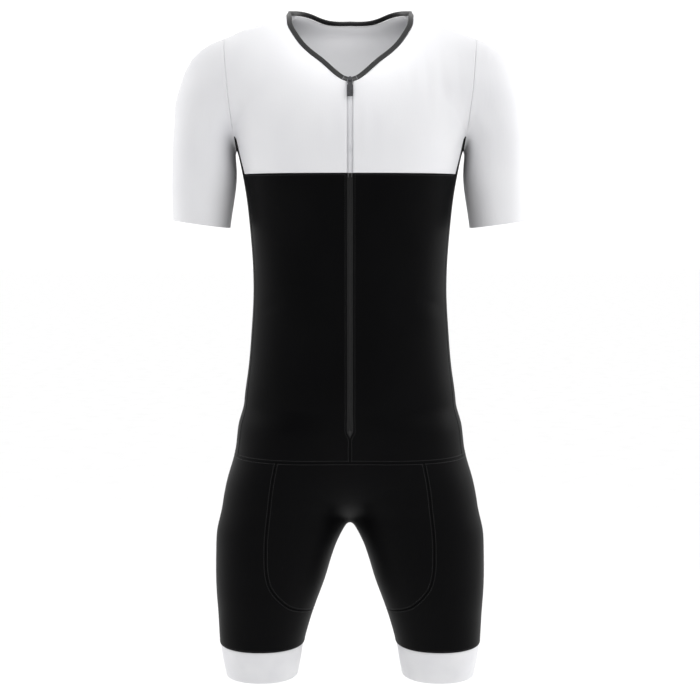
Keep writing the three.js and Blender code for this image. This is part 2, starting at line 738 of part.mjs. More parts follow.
// A strip on the front, between two distances across. Its depth under the form may change with the level.
function frontStrip(levels, fromX, toX, depthAt, thick) {
  const onForm = (x, z) => {
    const at = cast([x, 0, z], [0, -1, 0]);
    const normal = unit(slope(at));
    return (under) => add(at, normal, -under);
  };
  const low = levels.map((z) => onForm(fromX, z));
  const high = levels.map((z) => onForm(toX, z));
  const rail = (places, more) => places.map((place, i) => place(depthAt(levels[i]) + more));
  return sweep([rail(low, 0), rail(high, 0), rail(high, thick), rail(low, thick)]);
}

function volume({ points, faces }) {
  return faces.reduce((sum, [a, b, c]) => sum + dot(points[a], cross(points[b], points[c])), 0) / 6;
}

function meshOf(name, body, colour) {
  const faces = volume(body) < 0 ? body.faces.map(([a, b, c]) => [a, c, b]) : body.faces;
  const geometry = new THREE.BufferGeometry();
  geometry.setAttribute("position", new THREE.Float32BufferAttribute(body.points.flat(), 3));
  geometry.setIndex(faces.flat());
  geometry.computeVertexNormals();
  const mesh = new THREE.Mesh(geometry, new THREE.MeshStandardMaterial({ color: colour, roughness: 0.8 }));
  mesh.name = name;
  return mesh;
}

const flipped = (body) => ({ points: body.points.map(mirror), faces: body.faces });

function bothSides(group, name, body, colour) {
  group.add(meshOf(`${name}_left`, body, colour));
  group.add(meshOf(`${name}_right`, flipped(body), colour));
}

// The neck binding: a strip from the neckline towards the neck, from zip edge to zip edge round the back.
function neckBinding(s) {
  const half = joinedStations([s.neckFrontLine, s.neckBackHalf]);
  const line = [...half, ...half.slice(0, -1).reverse().map(mirror)];
  const rows = line.map((point, k) => {
    const before = line[Math.max(k - 1, 0)];
    const after = line[Math.min(k + 1, line.length - 1)];
    const tangent = unit(sub(after, before));
    const normal = unit(slope(point));
    const inwards = unit(cross(normal, tangent));
    const outerEdge = add(point, inwards, SEAM_GAP / 2);
    let innerEdge = settle(add(point, inwards, BINDING_WIDTH));
    const side = k < line.length / 2 ? 1 : -1;
    const short = ZIP_REVEAL - side * innerEdge[0];
    if (short > 0) innerEdge = settle(add(innerEdge, tangent, short / Math.abs(tangent[0]) * side));
    const place = (edge, out) => add(edge, unit(slope(edge)), out);
    return { outerEdge, innerEdge, place };
  });
  const low = BINDING_PROUD - BINDING_THICK;
  return sweep([
    rows.map((row) => row.place(row.outerEdge, BINDING_PROUD)),
    rows.map((row) => row.place(row.innerEdge, BINDING_PROUD)),
    rows.map((row) => row.place(row.innerEdge, low)),
    rows.map((row) => row.place(row.outerEdge, low)),
  ]);
}

// A solid made in the slider's own frame, x across, y up along the zip and z out, set in place.
function setOnZip(solid) {
  const at = cast([0, 0, SLIDER_Z], [0, -1, 0]);
  const out = unit(slope(at));
  const up = cross([-1, 0, 0], out);
  const { numProp, vertProperties, triVerts } = solid.getMesh();
  const points = [];
  for (let i = 0; i < vertProperties.length; i += numProp) {
    const [x, y, z] = vertProperties.slice(i, i + 3);
    points.push(add(add(add(at, [1, 0, 0], x), up, y), out, z));
  }
  const faces = [];
  for (let i = 0; i < triVerts.length; i += 3) faces.push([...triVerts.slice(i, i + 3)]);
  return { points, faces };
}

// A closed geometry as a solid that can be joined to others.
function solidOf(geometry) {
  geometry.deleteAttribute("normal");
  geometry.deleteAttribute("uv");
  const { attributes, index } = mergeVertices(geometry);
  const triVerts = new Uint32Array(index.array);
  return new Manifold(new Mesh({ numProp: 3, vertProperties: attributes.position.array, triVerts }));
}

function block(width, height, thick, y, z) {
  return solidOf(new THREE.BoxGeometry(width, height, thick).translate(0, y, z + thick / 2));
}

function plate(outline, thick, z) {
  const options = { depth: thick, bevelEnabled: false, curveSegments: 10 };
  return solidOf(new THREE.ExtrudeGeometry(outline, options).translate(0, 0, z));
}

// An outline through its corners, each of them rounded off.
function roundedOutline(corners, round) {
  const shape = new THREE.Shape();
  const spots = corners.map(([x, y]) => new THREE.Vector2(x, y));
  const towards = (from, to) => from.clone().add(to.clone().sub(from).setLength(round));
  spots.forEach((spot, i) => {
    const start = towards(spot, spots[(i + spots.length - 1) % spots.length]);
    const end = towards(spot, spots[(i + 1) % spots.length]);
    if (i === 0) shape.moveTo(start.x, start.y);
    else shape.lineTo(start.x, start.y);
    shape.quadraticCurveTo(spot.x, spot.y, end.x, end.y);
  });
  shape.closePath();
  return shape;
}

// The slider: a plate with a rounded nose, and the bail that holds the tab.
function zipSlider() {
  const outline = new THREE.Shape();
  outline.moveTo(-SLIDER_HALF, -SLIDER_LENGTH / 2);
  outline.lineTo(SLIDER_HALF, -SLIDER_LENGTH / 2);
  outline.absarc(0, SLIDER_LENGTH / 2 - SLIDER_HALF, SLIDER_HALF, 0, Math.PI);
  const body = plate(outline, SLIDER_THICK, SLIDER_FOOT);
  const face = SLIDER_FOOT + SLIDER_THICK;
  const bailTop = block(BAIL_WIDE, 2 * BAIL_REACH + BAIL_WIRE, BAIL_WIRE, BAIL_Y, face + BAIL_OPEN);
  const legs = [-1, 1].map((side) =>
    block(BAIL_WIDE, BAIL_WIRE, BAIL_OPEN + BAIL_WIRE, BAIL_Y + side * BAIL_REACH, face - BAIL_SUNK));
  return setOnZip(body.add(bailTop).add(legs[0]).add(legs[1]));
}

// The pull tab hangs from the bail by the bar above its slot, on a neck narrower than its grip.
function pullTab() {
  const middle = SLIDER_FOOT + SLIDER_THICK + BAIL_OPEN / 2 - TAB_THICK / 2;
  const top = BAIL_Y + TAB_THICK / 2;
  const outlineOf = (side, round) => roundedOutline([
    ...side.map(([half, down]) => [-half, top - down]),
    ...[...side].reverse().map(([half, down]) => [half, top - down]),
  ], round);
  const neck = [[TAB_NECK_HALF, 0], [TAB_NECK_HALF, TAB_NECK_LENGTH]];
  const edge = [...neck, [TAB_HALF, TAB_SHOULDER], [TAB_HALF, TAB_LENGTH]];
  const slotEdge = [[TAB_SLOT_WIDE / 2, TAB_THICK], [TAB_SLOT_WIDE / 2, TAB_THICK + TAB_SLOT_LONG]];
  const outline = outlineOf(edge, TAB_CORNER);
  outline.holes.push(outlineOf(slotEdge, TAB_SLOT_CORNER));
  return setOnZip(plate(outline, TAB_THICK, middle));
}

function addPanels(group, s) {
  const other = (lines) => [...lines].reverse().map((line) => reversed(mirrored(line)));
  const upwards = (lines) => [...lines].reverse().map(reversed);
  bothSides(group, "front_yoke", panel([{
    bottom: [s.colourLine],
    right: [s.sideUpperFront, s.armFront],
    top: [reversed(s.shoulder)],
    left: [s.middleUpper, s.neckFrontLine],
  }]), CLOTH_WHITE);
  group.add(meshOf("back_yoke", panel([{
    bottom: [s.colourBackHalf, ...other([s.colourBackHalf])],
    right: [mirrored(s.sideUpperBack), reversed(mirrored(s.armBack))],
    top: [s.shoulder, s.neckBackHalf, ...other([s.shoulder, s.neckBackHalf])],
    left: [s.sideUpperBack, reversed(s.armBack)],
  }]), CLOTH_WHITE));
  bothSides(group, "sleeve", panel([{
    bottom: [s.sleeveHem],
    right: [reversed(s.underarm)],
    top: [s.armUnderFront, s.armFront, s.armBack, s.armUnderBack],
    left: [reversed(s.underarm)],
    rowEase: CROWD_AT_ARMPIT,
    cell: SLEEVE_CELL,
    core: armCore,
  }]), CLOTH_WHITE);
  bothSides(group, "front_body", panel([{
    bottom: [s.waistInner, s.waistOuter],
    right: [s.sideLowerFront],
    top: [s.colourLine],
    left: [s.middleClosed, s.middleEnd, s.middleLower],
  }]), CLOTH_BLACK);
  bothSides(group, "side_panel", panel([{
    bottom: [s.waistSide],
    right: [s.sideLowerBack, s.sideUpperBack],
    top: [reversed(s.armUnderFront), reversed(s.armUnderBack)],
    left: [s.sideLowerFront, s.sideUpperFront],
    rowEase: CROWD_AT_ARMPIT,
  }]), CLOTH_BLACK);
  const waistBack = [s.waistBackOuter, s.waistBackInner];
  group.add(meshOf("back_body", panel([{
    bottom: [...waistBack, ...other(waistBack)],
    right: [mirrored(s.sideLowerBack)],
    top: [s.colourBackHalf, ...other([s.colourBackHalf])],
    left: [s.sideLowerBack],
  }]), CLOTH_BLACK));
  const frontSeam = [s.legSeamFront, s.legTailFront];
  const backSeam = [s.legSeamBack, s.legTailBack];
  group.add(meshOf("front_rise", panel([{
    bottom: [...other([s.arch]), s.arch],
    right: upwards(frontSeam),
    top: [...other([s.waistInner]), s.waistInner],
    left: upwards(frontSeam).map(mirrored),
    cell: CROTCH_CELL,
    core: hipCore,
  }]), CLOTH_BLACK));
  group.add(meshOf("back_rise", panel([{
    bottom: [reversed(s.arch), mirrored(s.arch)],
    right: upwards(backSeam).map(mirrored),
    top: [s.waistBackInner, ...other([s.waistBackInner])],
    left: upwards(backSeam),
    cell: CROTCH_CELL,
    core: hipCore,
  }]), CLOTH_BLACK));
  bothSides(group, "leg", panel([
    {
      bottom: [s.legCut],
      right: [reversed(s.legSeamBack)],
      top: [s.waistOuter, s.waistSide, s.waistBackOuter],
      left: [reversed(s.legSeamFront)],
    },
    {
      bottom: [s.gripperRing],
      right: [reversed(s.inseam)],
      top: [reversed(s.legTailFront), s.legCut, s.legTailBack],
      left: [reversed(s.inseam)],
    },
  ]), CLOTH_BLACK);
  bothSides(group, "leg_gripper", panel([{
    bottom: [s.hemRing],
    right: [reversed(s.inseamCuff)],
    top: [s.gripperRing],
    left: [reversed(s.inseamCuff)],
  }]), CLOTH_WHITE);
}

function addZip(group, s) {
  const levels = [...stations(s.middleLower), ...stations(s.middleUpper).slice(1)].map((p) => p[2]);
  levels[levels.length - 1] += BINDING_WIDTH - 1;
  const tail = [ZIP_END_Z - ZIP_TAIL_LENGTH, ZIP_END_Z - ZIP_DIP_LENGTH];
  const tapeDepth = () => TAPE_UNDER;
  const tape = frontStrip([tail[0], ...levels], CHAIN_HALF + SEAM_GAP, TAPE_WIDTH, tapeDepth, TAPE_THICK);
  bothSides(group, "zip_tape", tape, CLOTH_BLACK);
  // Past the zip's end the chain dips under the closing edges of the cloth.
  const chainDepth = (z) => (z < ZIP_END_Z - 1 ? TAPE_UNDER : CHAIN_UNDER);
  const chain = frontStrip([...tail, ...levels], -CHAIN_HALF, CHAIN_HALF, chainDepth, CHAIN_THICK);
  group.add(meshOf("zip_chain", chain, COIL_GREY));
  group.add(meshOf("zip_slider", zipSlider(), METAL_GREY));
  group.add(meshOf("pull_tab", pullTab(), METAL_GREY));
}

function buildSuit() {
  const seams = laySeams();
  const group = new THREE.Group();
  group.name = "triathlon_suit";
  addPanels(group, seams);
  group.add(meshOf("neck_binding", neckBinding(seams), BINDING_GREY));
  addZip(group, seams);
  return group;
}

const group = buildSuit();
export default group;
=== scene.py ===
"""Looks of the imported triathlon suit: knit shells, seams, zip, finishes and a plain studio.

Lengths are worked out in millimetres in the part's own frame, and become metres when a mesh is made.
The suit faces -Y, +X is the wearer's left and +Z is up.
"""
import json
import logging
import math
from dataclasses import dataclass, field
from enum import Enum

import bpy
import numpy as np
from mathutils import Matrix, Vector


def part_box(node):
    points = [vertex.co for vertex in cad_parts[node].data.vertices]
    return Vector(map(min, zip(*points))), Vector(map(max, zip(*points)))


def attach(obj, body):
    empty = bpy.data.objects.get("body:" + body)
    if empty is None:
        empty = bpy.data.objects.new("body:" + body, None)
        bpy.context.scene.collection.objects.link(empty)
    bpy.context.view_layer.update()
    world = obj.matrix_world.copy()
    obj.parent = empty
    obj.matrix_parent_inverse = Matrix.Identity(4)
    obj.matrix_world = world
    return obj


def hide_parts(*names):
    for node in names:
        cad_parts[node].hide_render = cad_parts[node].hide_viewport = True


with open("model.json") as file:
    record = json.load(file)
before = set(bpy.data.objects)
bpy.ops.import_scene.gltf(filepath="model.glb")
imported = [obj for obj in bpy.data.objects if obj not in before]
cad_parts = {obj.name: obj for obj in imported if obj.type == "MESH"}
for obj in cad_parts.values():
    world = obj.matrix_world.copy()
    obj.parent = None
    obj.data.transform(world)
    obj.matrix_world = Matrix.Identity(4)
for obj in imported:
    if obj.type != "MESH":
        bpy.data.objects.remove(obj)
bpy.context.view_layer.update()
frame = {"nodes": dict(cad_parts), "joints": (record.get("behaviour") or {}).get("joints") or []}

LOG = logging.getLogger("triathlon_suit")
Place = tuple[float, float, float]
METRE = 0.001
SUIT = "suit"
TAB = "pull_tab"

# Levels of the seams and edges, as in the part.
COLOUR_LINE_Z = -226.5
WAIST_Z = -627.0
GRIPPER_TOP_Z = -908.0
HEM_Z = -956.0
ZIP_END_Z = -583.0
SLEEVE_HEM_CENTRE = np.array([212.8, 0.0, -297.0])
SLEEVE_HEM_DOWN = np.array([0.137, 0.0, -1.0])

# The form's tables: level, centre across, half width, front and back depth, squareness.
TRUNK_ROWS = (
    (60, 72, 36, 60, 2.1),
    (30, 76, 38, 62, 2.1),
    (8, 87, 42, 66, 2.1),
    (-2, 91.5, 45, 69.5, 2.1),
    (-8, 106, 47.5, 72, 2.1),
    (-20, 142, 54, 80, 2.1),
    (-34, 160, 62, 87, 2.2),
    (-56, 175, 73, 96, 2.3),
    (-90, 177, 89, 105, 2.4),
    (-130, 172, 102, 111, 2.5),
    (-168, 164.5, 112, 111, 2.5),
    (-200, 158.5, 117, 109, 2.5),
    (-228, 153, 118, 106, 2.5),
    (-262, 147.5, 117, 100, 2.5),
    (-300, 143.5, 114, 94, 2.5),
    (-345, 140, 111, 88, 2.5),
    (-400, 139, 109, 86, 2.5),
    (-450, 142, 109, 89, 2.5),
    (-505, 147, 110, 97, 2.5),
    (-560, 153.5, 109, 108, 2.4),
    (-610, 149.5, 103, 115, 2.4),
    (-655, 138, 91, 110, 2.3),
    (-690, 104, 70, 88, 2.2),
    (-715, 64, 44, 54, 2.1),
    (-735, 34, 24, 30, 2.1),
    (-745, 22, 15, 20, 2.1),
)
LEG_ROWS = (
    (-520, 48, 46, 52, 52, 2.2),
    (-560, 62, 68, 78, 80, 2.2),
    (-590, 71, 81, 90, 95, 2.2),
    (-620, 78, 83.5, 93, 103, 2.2),
    (-655, 85, 90, 94, 108, 2.2),
    (-690, 92, 91.5, 94, 108, 2.2),
    (-716, 98, 90.5, 93, 103, 2.2),
    (-740, 103.5, 90.5, 91, 97, 2.2),
    (-764, 108.5, 87.2, 89, 92, 2.2),
    (-788, 112.7, 83.5, 87, 88, 2.2),
    (-812, 116.3, 80, 84, 84, 2.2),
    (-836, 120.2, 75.2, 81, 80, 2.2),
    (-860, 123.7, 70, 77, 75, 2.2),
    (-884, 126.8, 65.7, 73, 71, 2.2),
    (-908, 129.2, 62, 69, 67, 2.2),
    (-932, 129.6, 58.6, 65, 63, 2.2),
    (-957, 129.5, 54, 61, 60, 2.2),
    (-1000, 129, 50, 58, 57, 2.2),
)
ARM_ROWS = (
    (-60, 170, 50, 56, 58, 2.1),
    (-95, 181, 54, 57, 60, 2.1),
    (-120, 190, 55.8, 58, 61, 2.1),
    (-150, 200, 50.7, 57, 60, 2.1),
    (-172, 207, 45.6, 56, 59, 2.1),
    (-190, 209.2, 44.3, 55, 58, 2.1),
    (-219, 208.5, 45.8, 54, 56, 2.1),
    (-262, 210.6, 44.5, 53, 54, 2.1),
    (-296, 212.8, 41.4, 52, 51, 2.1),
    (-340, 215, 39, 50, 50, 2.1),
)
NECKLINE_ROWS = (
    (-90, -102.5),
    (-84, -99.5),
    (-78, -92),
    (-66, -74),
    (-57, -62.5),
    (-49, -50.5),
    (-41, -35.5),
    (-34, -22.5),
    (-28, -12.5),
    (-20, -5.2),
    (-8, -0.5),
    (8, 1.4),
    (22, 2.5),
    (35, 0.8),
    (47, -3),
    (60, -6.3),
    (90, -7.3),
    (120, -6.3),
)


def linear(hexadecimal: str) -> tuple[float, float, float, float]:
    """Turns an sRGB hex colour into linear light.

    Args:
        hexadecimal: Six digits after a hash sign.

    Returns:
        Red, green, blue and a full alpha, all from 0 to 1.
    """
    parts = [int(hexadecimal[i:i + 2], 16) / 255 for i in (1, 3, 5)]
    light = [p / 12.92 if p <= 0.04045 else ((p + 0.055) / 1.055) ** 2.4 for p in parts]
    return light[0], light[1], light[2], 1.0


def add_node(tree: bpy.types.NodeTree, kind: str, inputs: dict | None = None, **settings) -> bpy.types.Node:
    """Adds one shader node with its settings, values and links.

    Args:
        tree: The material's or world's node tree.
        kind: Blender's name of the node type.
        inputs: Socket name or number, to a value or to the output socket that feeds it.
        settings: The node's own properties.

    Returns:
        The new node.
    """
    node = tree.nodes.new(kind)
    for name, value in settings.items():
        setattr(node, name, value)
    for name, value in (inputs or {}).items():
        if isinstance(value, bpy.types.NodeSocket):
            tree.links.new(value, node.inputs[name])
        else:
            node.inputs[name].default_value = value
    return node


def unit(vectors: np.ndarray) -> np.ndarray:
    """Scales each row to length one."""
    return vectors / np.maximum(np.linalg.norm(vectors, axis=-1, keepdims=True), 1e-9)


def ramp(value: np.ndarray, start: float, end: float) -> np.ndarray:
    """Goes smoothly from 0 at start to 1 at end."""
    t = np.clip((value - start) / (end - start), 0, 1)
    return t * t * (3 - 2 * t)


def read_along(points: np.ndarray, run: np.ndarray, marks: np.ndarray) -> np.ndarray:
    """Reads a line of points, or of directions, at marks along its run of lengths."""
    return np.stack([np.interp(marks, run, points[:, k]) for k in range(3)], 1)


def soft_min(a: np.ndarray, b: np.ndarray, soft: np.ndarray | float) -> np.ndarray:
    """The smaller of two distances, rounded where they are within soft of each other."""
    overlap = np.maximum(soft - np.abs(a - b), 0) / soft
    return np.minimum(a, b) - overlap * overlap * soft / 4


def soft_max(a: np.ndarray, b: np.ndarray, soft: float) -> np.ndarray:
    """The larger of two distances, rounded in the same way."""
    return -soft_min(-a, -b, soft)


class SectionTable:
    """A natural cubic curve through each column of a short table, by its first column."""

    STEPS_PER_UNIT = 3

    def __init__(self, names: tuple[str, ...], rows: tuple[tuple[float, ...], ...]) -> None:
        """Lays the curves.

        Args:
            names: The columns after the first.
            rows: The table, in either order of its first column.
        """
        table = np.array(sorted(rows), float)
        self.keys = table[:, 0]
        count = int((self.keys[-1] - self.keys[0]) * self.STEPS_PER_UNIT) + 1
        self.grid = np.linspace(self.keys[0], self.keys[-1], count)
        self.columns = {name: self._curve(table[:, i + 1]) for i, name in enumerate(names)}

    def _curve(self, values: np.ndarray) -> np.ndarray:
        """One column's natural cubic, read at the grid's steps."""
        spans = np.diff(self.keys)
        count = len(self.keys)
        system = np.eye(count)
        right = np.zeros(count)
        for i in range(1, count - 1):
            system[i, i - 1:i + 2] = spans[i - 1], 2 * (spans[i - 1] + spans[i]), spans[i]
            change = (values[i + 1] - values[i]) / spans[i] - (values[i] - values[i - 1]) / spans[i - 1]
            right[i] = 6 * change
        bends = np.linalg.solve(system, right)
        low = np.clip(np.searchsorted(self.keys, self.grid, side="right") - 1, 0, count - 2)
        span = spans[low]
        up = (self.grid - self.keys[low]) / span
        down = 1 - up
        bow = (down ** 3 - down) * bends[low] + (up ** 3 - up) * bends[low + 1]
        return down * values[low] + up * values[low + 1] + bow * span * span / 6

    def read(self, name: str, key: np.ndarray | float) -> np.ndarray:
        """The named column at these keys, held at the table's ends."""
        return np.interp(key, self.grid, self.columns[name])


class WornForm:
    """The rounded form of the worn suit: below zero inside, about millimetres outside."""

    SHOULDER_CENTRE = np.array([181.0, 2.0, -100.0])
    SHOULDER_RADII = np.array([57.0, 58.0, 58.0])
    TRUNK_END_Z, TRUNK_END_SOFT = -703.0, 70.0
    LEG_START_Z, LEG_START_SOFT = -560.0, 40.0
    ARM_START_Z, ARM_END_Z = -105.0, -345.0
    ARM_SOFT, ARM_END_SOFT = 30.0, 10.0
    BLEND_SHOULDER, BLEND_ARMPIT = 42.0, 10.0
    BLEND_CROTCH, BLEND_HIP, BLEND_HIP_ENDS = 42.0, 40.0, 10.0
    PROBE = 0.5

    def __init__(self) -> None:
        """Lays the tables of the trunk, legs and arms."""
        limb = ("centre", "half", "front", "back", "square")
        self.trunk = SectionTable(limb[1:], TRUNK_ROWS)
        self.leg = SectionTable(limb, LEG_ROWS)
        self.arm = SectionTable(limb, ARM_ROWS)

    def _reach(self, table: SectionTable, x: np.ndarray, y: np.ndarray, z: np.ndarray) -> np.ndarray:
        """How many times its own size a rounded slice must grow to reach each point."""
        centre = table.read("centre", z) if "centre" in table.columns else 0.0
        depth = np.where(y < 0, table.read("front", z), table.read("back", z))
        square = table.read("square", z)
        across = np.abs(x - centre) / table.read("half", z)
        return (across ** square + (np.abs(y) / depth) ** square + 1e-12) ** (1 / square)

    def _loft(self, table: SectionTable, x: np.ndarray, y: np.ndarray, z: np.ndarray) -> np.ndarray:
        """The reach turned into a distance by how fast it grows."""
        here = self._reach(table, x, y, z)
        grow_x = (self._reach(table, x + self.PROBE, y, z) - here) / self.PROBE
        grow_y = (self._reach(table, x, y + self.PROBE, z) - here) / self.PROBE
        grow_z = (self._reach(table, x, y, z + self.PROBE) - here) / self.PROBE
        return (here - 1) / np.sqrt(grow_x ** 2 + grow_y ** 2 + grow_z ** 2 + 1e-10)

    def _arms(self, p: np.ndarray) -> np.ndarray:
        """Both sleeves' tubes with their rounded shoulders."""
        side, y, z = np.abs(p[:, 0]), p[:, 1], p[:, 2]
        tube = soft_max(self._loft(self.arm, side, y, z), z - self.ARM_START_Z, self.ARM_SOFT)
        tube = soft_max(tube, self.ARM_END_Z - z, self.ARM_END_SOFT)
        scaled = (np.stack([side, y, z], 1) - self.SHOULDER_CENTRE) / self.SHOULDER_RADII
        q = np.linalg.norm(scaled, axis=1) + 1e-9
        growth = np.linalg.norm(scaled / self.SHOULDER_RADII, axis=1) / q + 1e-9
        return soft_min(tube, (q - 1) / growth, self.ARM_SOFT)

    def _legs(self, p: np.ndarray) -> np.ndarray:
        """Both legs' tubes, run together at the crotch."""
        x, y, z = p.T
        start = z - self.LEG_START_Z
        left = soft_max(self._loft(self.leg, x, y, z), start, self.LEG_START_SOFT)
        right = soft_max(self._loft(self.leg, -x, y, z), start, self.LEG_START_SOFT)
        return soft_min(left, right, self.BLEND_CROTCH)

    def value(self, p: np.ndarray) -> np.ndarray:
        """The form's value at each point."""
        x, y, z = p.T
        whole = soft_max(self._loft(self.trunk, x, y, z), self.TRUNK_END_Z - z, self.TRUNK_END_SOFT)
        near_arm = (z > self.ARM_END_Z - 60) & (np.abs(x) > 60)
        if near_arm.any():
            q = p[near_arm]
            rise = ramp(q[:, 2], -172, -95)
            blend = self.BLEND_ARMPIT + (self.BLEND_SHOULDER - self.BLEND_ARMPIT) * rise
            whole[near_arm] = soft_min(whole[near_arm], self._arms(q), blend)
        near_leg = z < self.LEG_START_Z + 100
        if near_leg.any():
            q = p[near_leg]
            fade = ramp(q[:, 2], -510, -590) * ramp(q[:, 2], -755, -690)
            blend = self.BLEND_HIP_ENDS + (self.BLEND_HIP - self.BLEND_HIP_ENDS) * fade
            whole[near_leg] = soft_min(whole[near_leg], self._legs(q), blend)
        return whole

    def slope(self, p: np.ndarray, probe: float = 0.4) -> np.ndarray:
        """How the value changes along each axis."""
        steps = np.eye(3) * probe
        return np.stack([(self.value(p + s) - self.value(p - s)) / (2 * probe) for s in steps], 1)

    def normal(self, p: np.ndarray) -> np.ndarray:
        """The outward direction at each point."""
        return unit(self.slope(p))

    def settle(self, p: np.ndarray, rounds: int = 5) -> np.ndarray:
        """Moves points to the form's surface along the steepest way.

        Args:
            p: Points near the surface.
            rounds: Newton steps.

        Returns:
            The points on the surface.
        """
        at = p.copy()
        for _ in range(rounds):
            value = self.value(at)
            far = np.abs(value) > 0.004
            if not far.any():
                break
            steep = self.slope(at[far])
            step = np.clip(value[far] / ((steep ** 2).sum(1) + 1e-6), -12, 12)
            at[far] -= steep * step[:, None]
        return at

    def cast(self, origins: np.ndarray, ways: np.ndarray, longest: float = 200.0) -> np.ndarray:
        """Goes out from inside the form to where each ray first meets the cloth.

        Args:
            origins: Places inside, one a ray.
            ways: Directions, one a ray.
            longest: The furthest that a ray is followed.

        Returns:
            The points where the rays leave the form.
        """
        ways = unit(ways)
        marks = np.arange(0, longest, 2.0)
        track = origins[:, None, :] + ways[:, None, :] * marks[None, :, None]
        values = self.value(track.reshape(-1, 3)).reshape(len(origins), -1)
        first = np.maximum(np.argmax(values >= 0, axis=1), 1)
        inside, outside = marks[first - 1], marks[first]
        for _ in range(14):
            middle = (inside + outside) / 2
            within = self.value(origins + ways * middle[:, None]) < 0
            inside = np.where(within, middle, inside)
            outside = np.where(within, outside, middle)
        return origins + ways * inside[:, None]

    def on_front(self, x: np.ndarray, z: np.ndarray) -> np.ndarray:
        """The front's points at these distances across and levels."""
        origins = np.stack([x, np.zeros_like(x), z], 1)
        return self.cast(origins, np.broadcast_to([0.0, -1.0, 0.0], origins.shape))


class Face(Enum):
    """The side of the suit that a crease is seen on, as the way from the middle to it."""

    FRONT = -1.0
    BACK = 1.0


@dataclass(frozen=True)
class Crease:
    """One soft ridge, or a trough where its height is below zero, between two places on a face."""

    face: Face
    x_start: float
    z_start: float
    x_end: float
    z_end: float
    width: float
    height: float
    bow: float = 0.0


class CreaseSet:
    """The creases of the worn suit, each laid one by one."""

    SPANS = 8

    def __init__(self, form: WornForm, creases: tuple[Crease, ...]) -> None:
        """Lays each crease's line on the form."""
        self.lines: list[tuple[np.ndarray, Crease]] = []
        t = np.linspace(0, 1, self.SPANS + 1)
        for crease in creases:
            x = crease.x_start + (crease.x_end - crease.x_start) * t + crease.bow * np.sin(math.pi * t)
            z = crease.z_start + (crease.z_end - crease.z_start) * t
            origins = np.stack([x, np.zeros_like(x), z], 1)
            ways = np.broadcast_to([0.0, crease.face.value, 0.0], origins.shape)
            self.lines.append((form.cast(origins, ways), crease))

    def lift(self, p: np.ndarray) -> np.ndarray:
        """How far each point of the cloth stands out from the form."""
        total = np.zeros(len(p))
        for line, crease in self.lines:
            margin = 3 * crease.width
            near = ((p > line.min(0) - margin) & (p < line.max(0) + margin)).all(1)
            if not near.any():
                continue
            q = p[near]
            best = np.full(len(q), 1e9)
            share = np.zeros(len(q))
            for i in range(self.SPANS):
                way = line[i + 1] - line[i]
                t = np.clip((q - line[i]) @ way / (way @ way), 0, 1)
                distance = np.linalg.norm(q - line[i] - t[:, None] * way, axis=1)
                closer = distance < best
                best = np.where(closer, distance, best)
                share = np.where(closer, (i + t) / self.SPANS, share)
            fade = np.sin(math.pi * np.clip(share, 0, 1)) ** 0.8
            total[near] += crease.height * fade * np.exp(-((best / crease.width) ** 2))
        return total


@dataclass(frozen=True)
class Finish:
    """A material, named for what it is made of and how."""

    name: str
    colour: str
    roughness: float

    def material(self) -> bpy.types.Material:
        """The finish as a Blender material, made once."""
        found = bpy.data.materials.get(self.name)
        if found:
            return found
        made = bpy.data.materials.new(self.name)
        made.use_nodes = True
        made.node_tree.nodes.clear()
        made.diffuse_color = linear(self.colour)
        self.dress(made.node_tree)
        return made

    def dress(self, tree: bpy.types.NodeTree) -> None:
        """Adds the finish's nodes; each kind of finish has its own."""
        raise NotImplementedError

    def noise(self, tree: bpy.types.NodeTree, millimetres: Place, detail: float = 2.0) -> bpy.types.NodeSocket:
        """A noise whose grain has these sizes along X, Y and Z.

        Args:
            tree: The material's node tree.
            millimetres: The grain's size along each axis.
            detail: How many finer octaves it has.

        Returns:
            The socket of its value from 0 to 1.
        """
        place = add_node(tree, "ShaderNodeTexCoord").outputs["Object"]
        scale = tuple(1 / (size * METRE) for size in millimetres)
        turned = add_node(tree, "ShaderNodeMapping", {"Vector": place, "Scale": scale}).outputs["Vector"]
        return add_node(tree, "ShaderNodeTexNoise", {"Vector": turned, "Scale": 1.0, "Detail": detail}).outputs[0]

    def spread(
        self, tree: bpy.types.NodeTree, factor: bpy.types.NodeSocket, low: float, high: float
    ) -> bpy.types.NodeSocket:
        """The factor's middle half spread over a range."""
        sockets = {"Value": factor, "From Min": 0.3, "From Max": 0.7, "To Min": low, "To Max": high}
        return add_node(tree, "ShaderNodeMapRange", sockets).outputs[0]

    def tint(self, tree: bpy.types.NodeTree, factor: bpy.types.NodeSocket, other: str) -> bpy.types.NodeSocket:
        """The finish's colour varied towards another by a factor."""
        mix = add_node(tree, "ShaderNodeMix", {"Factor": factor}, data_type="RGBA")
        mix.inputs["A"].default_value = linear(self.colour)
        mix.inputs["B"].default_value = linear(other)
        return mix.outputs["Result"]


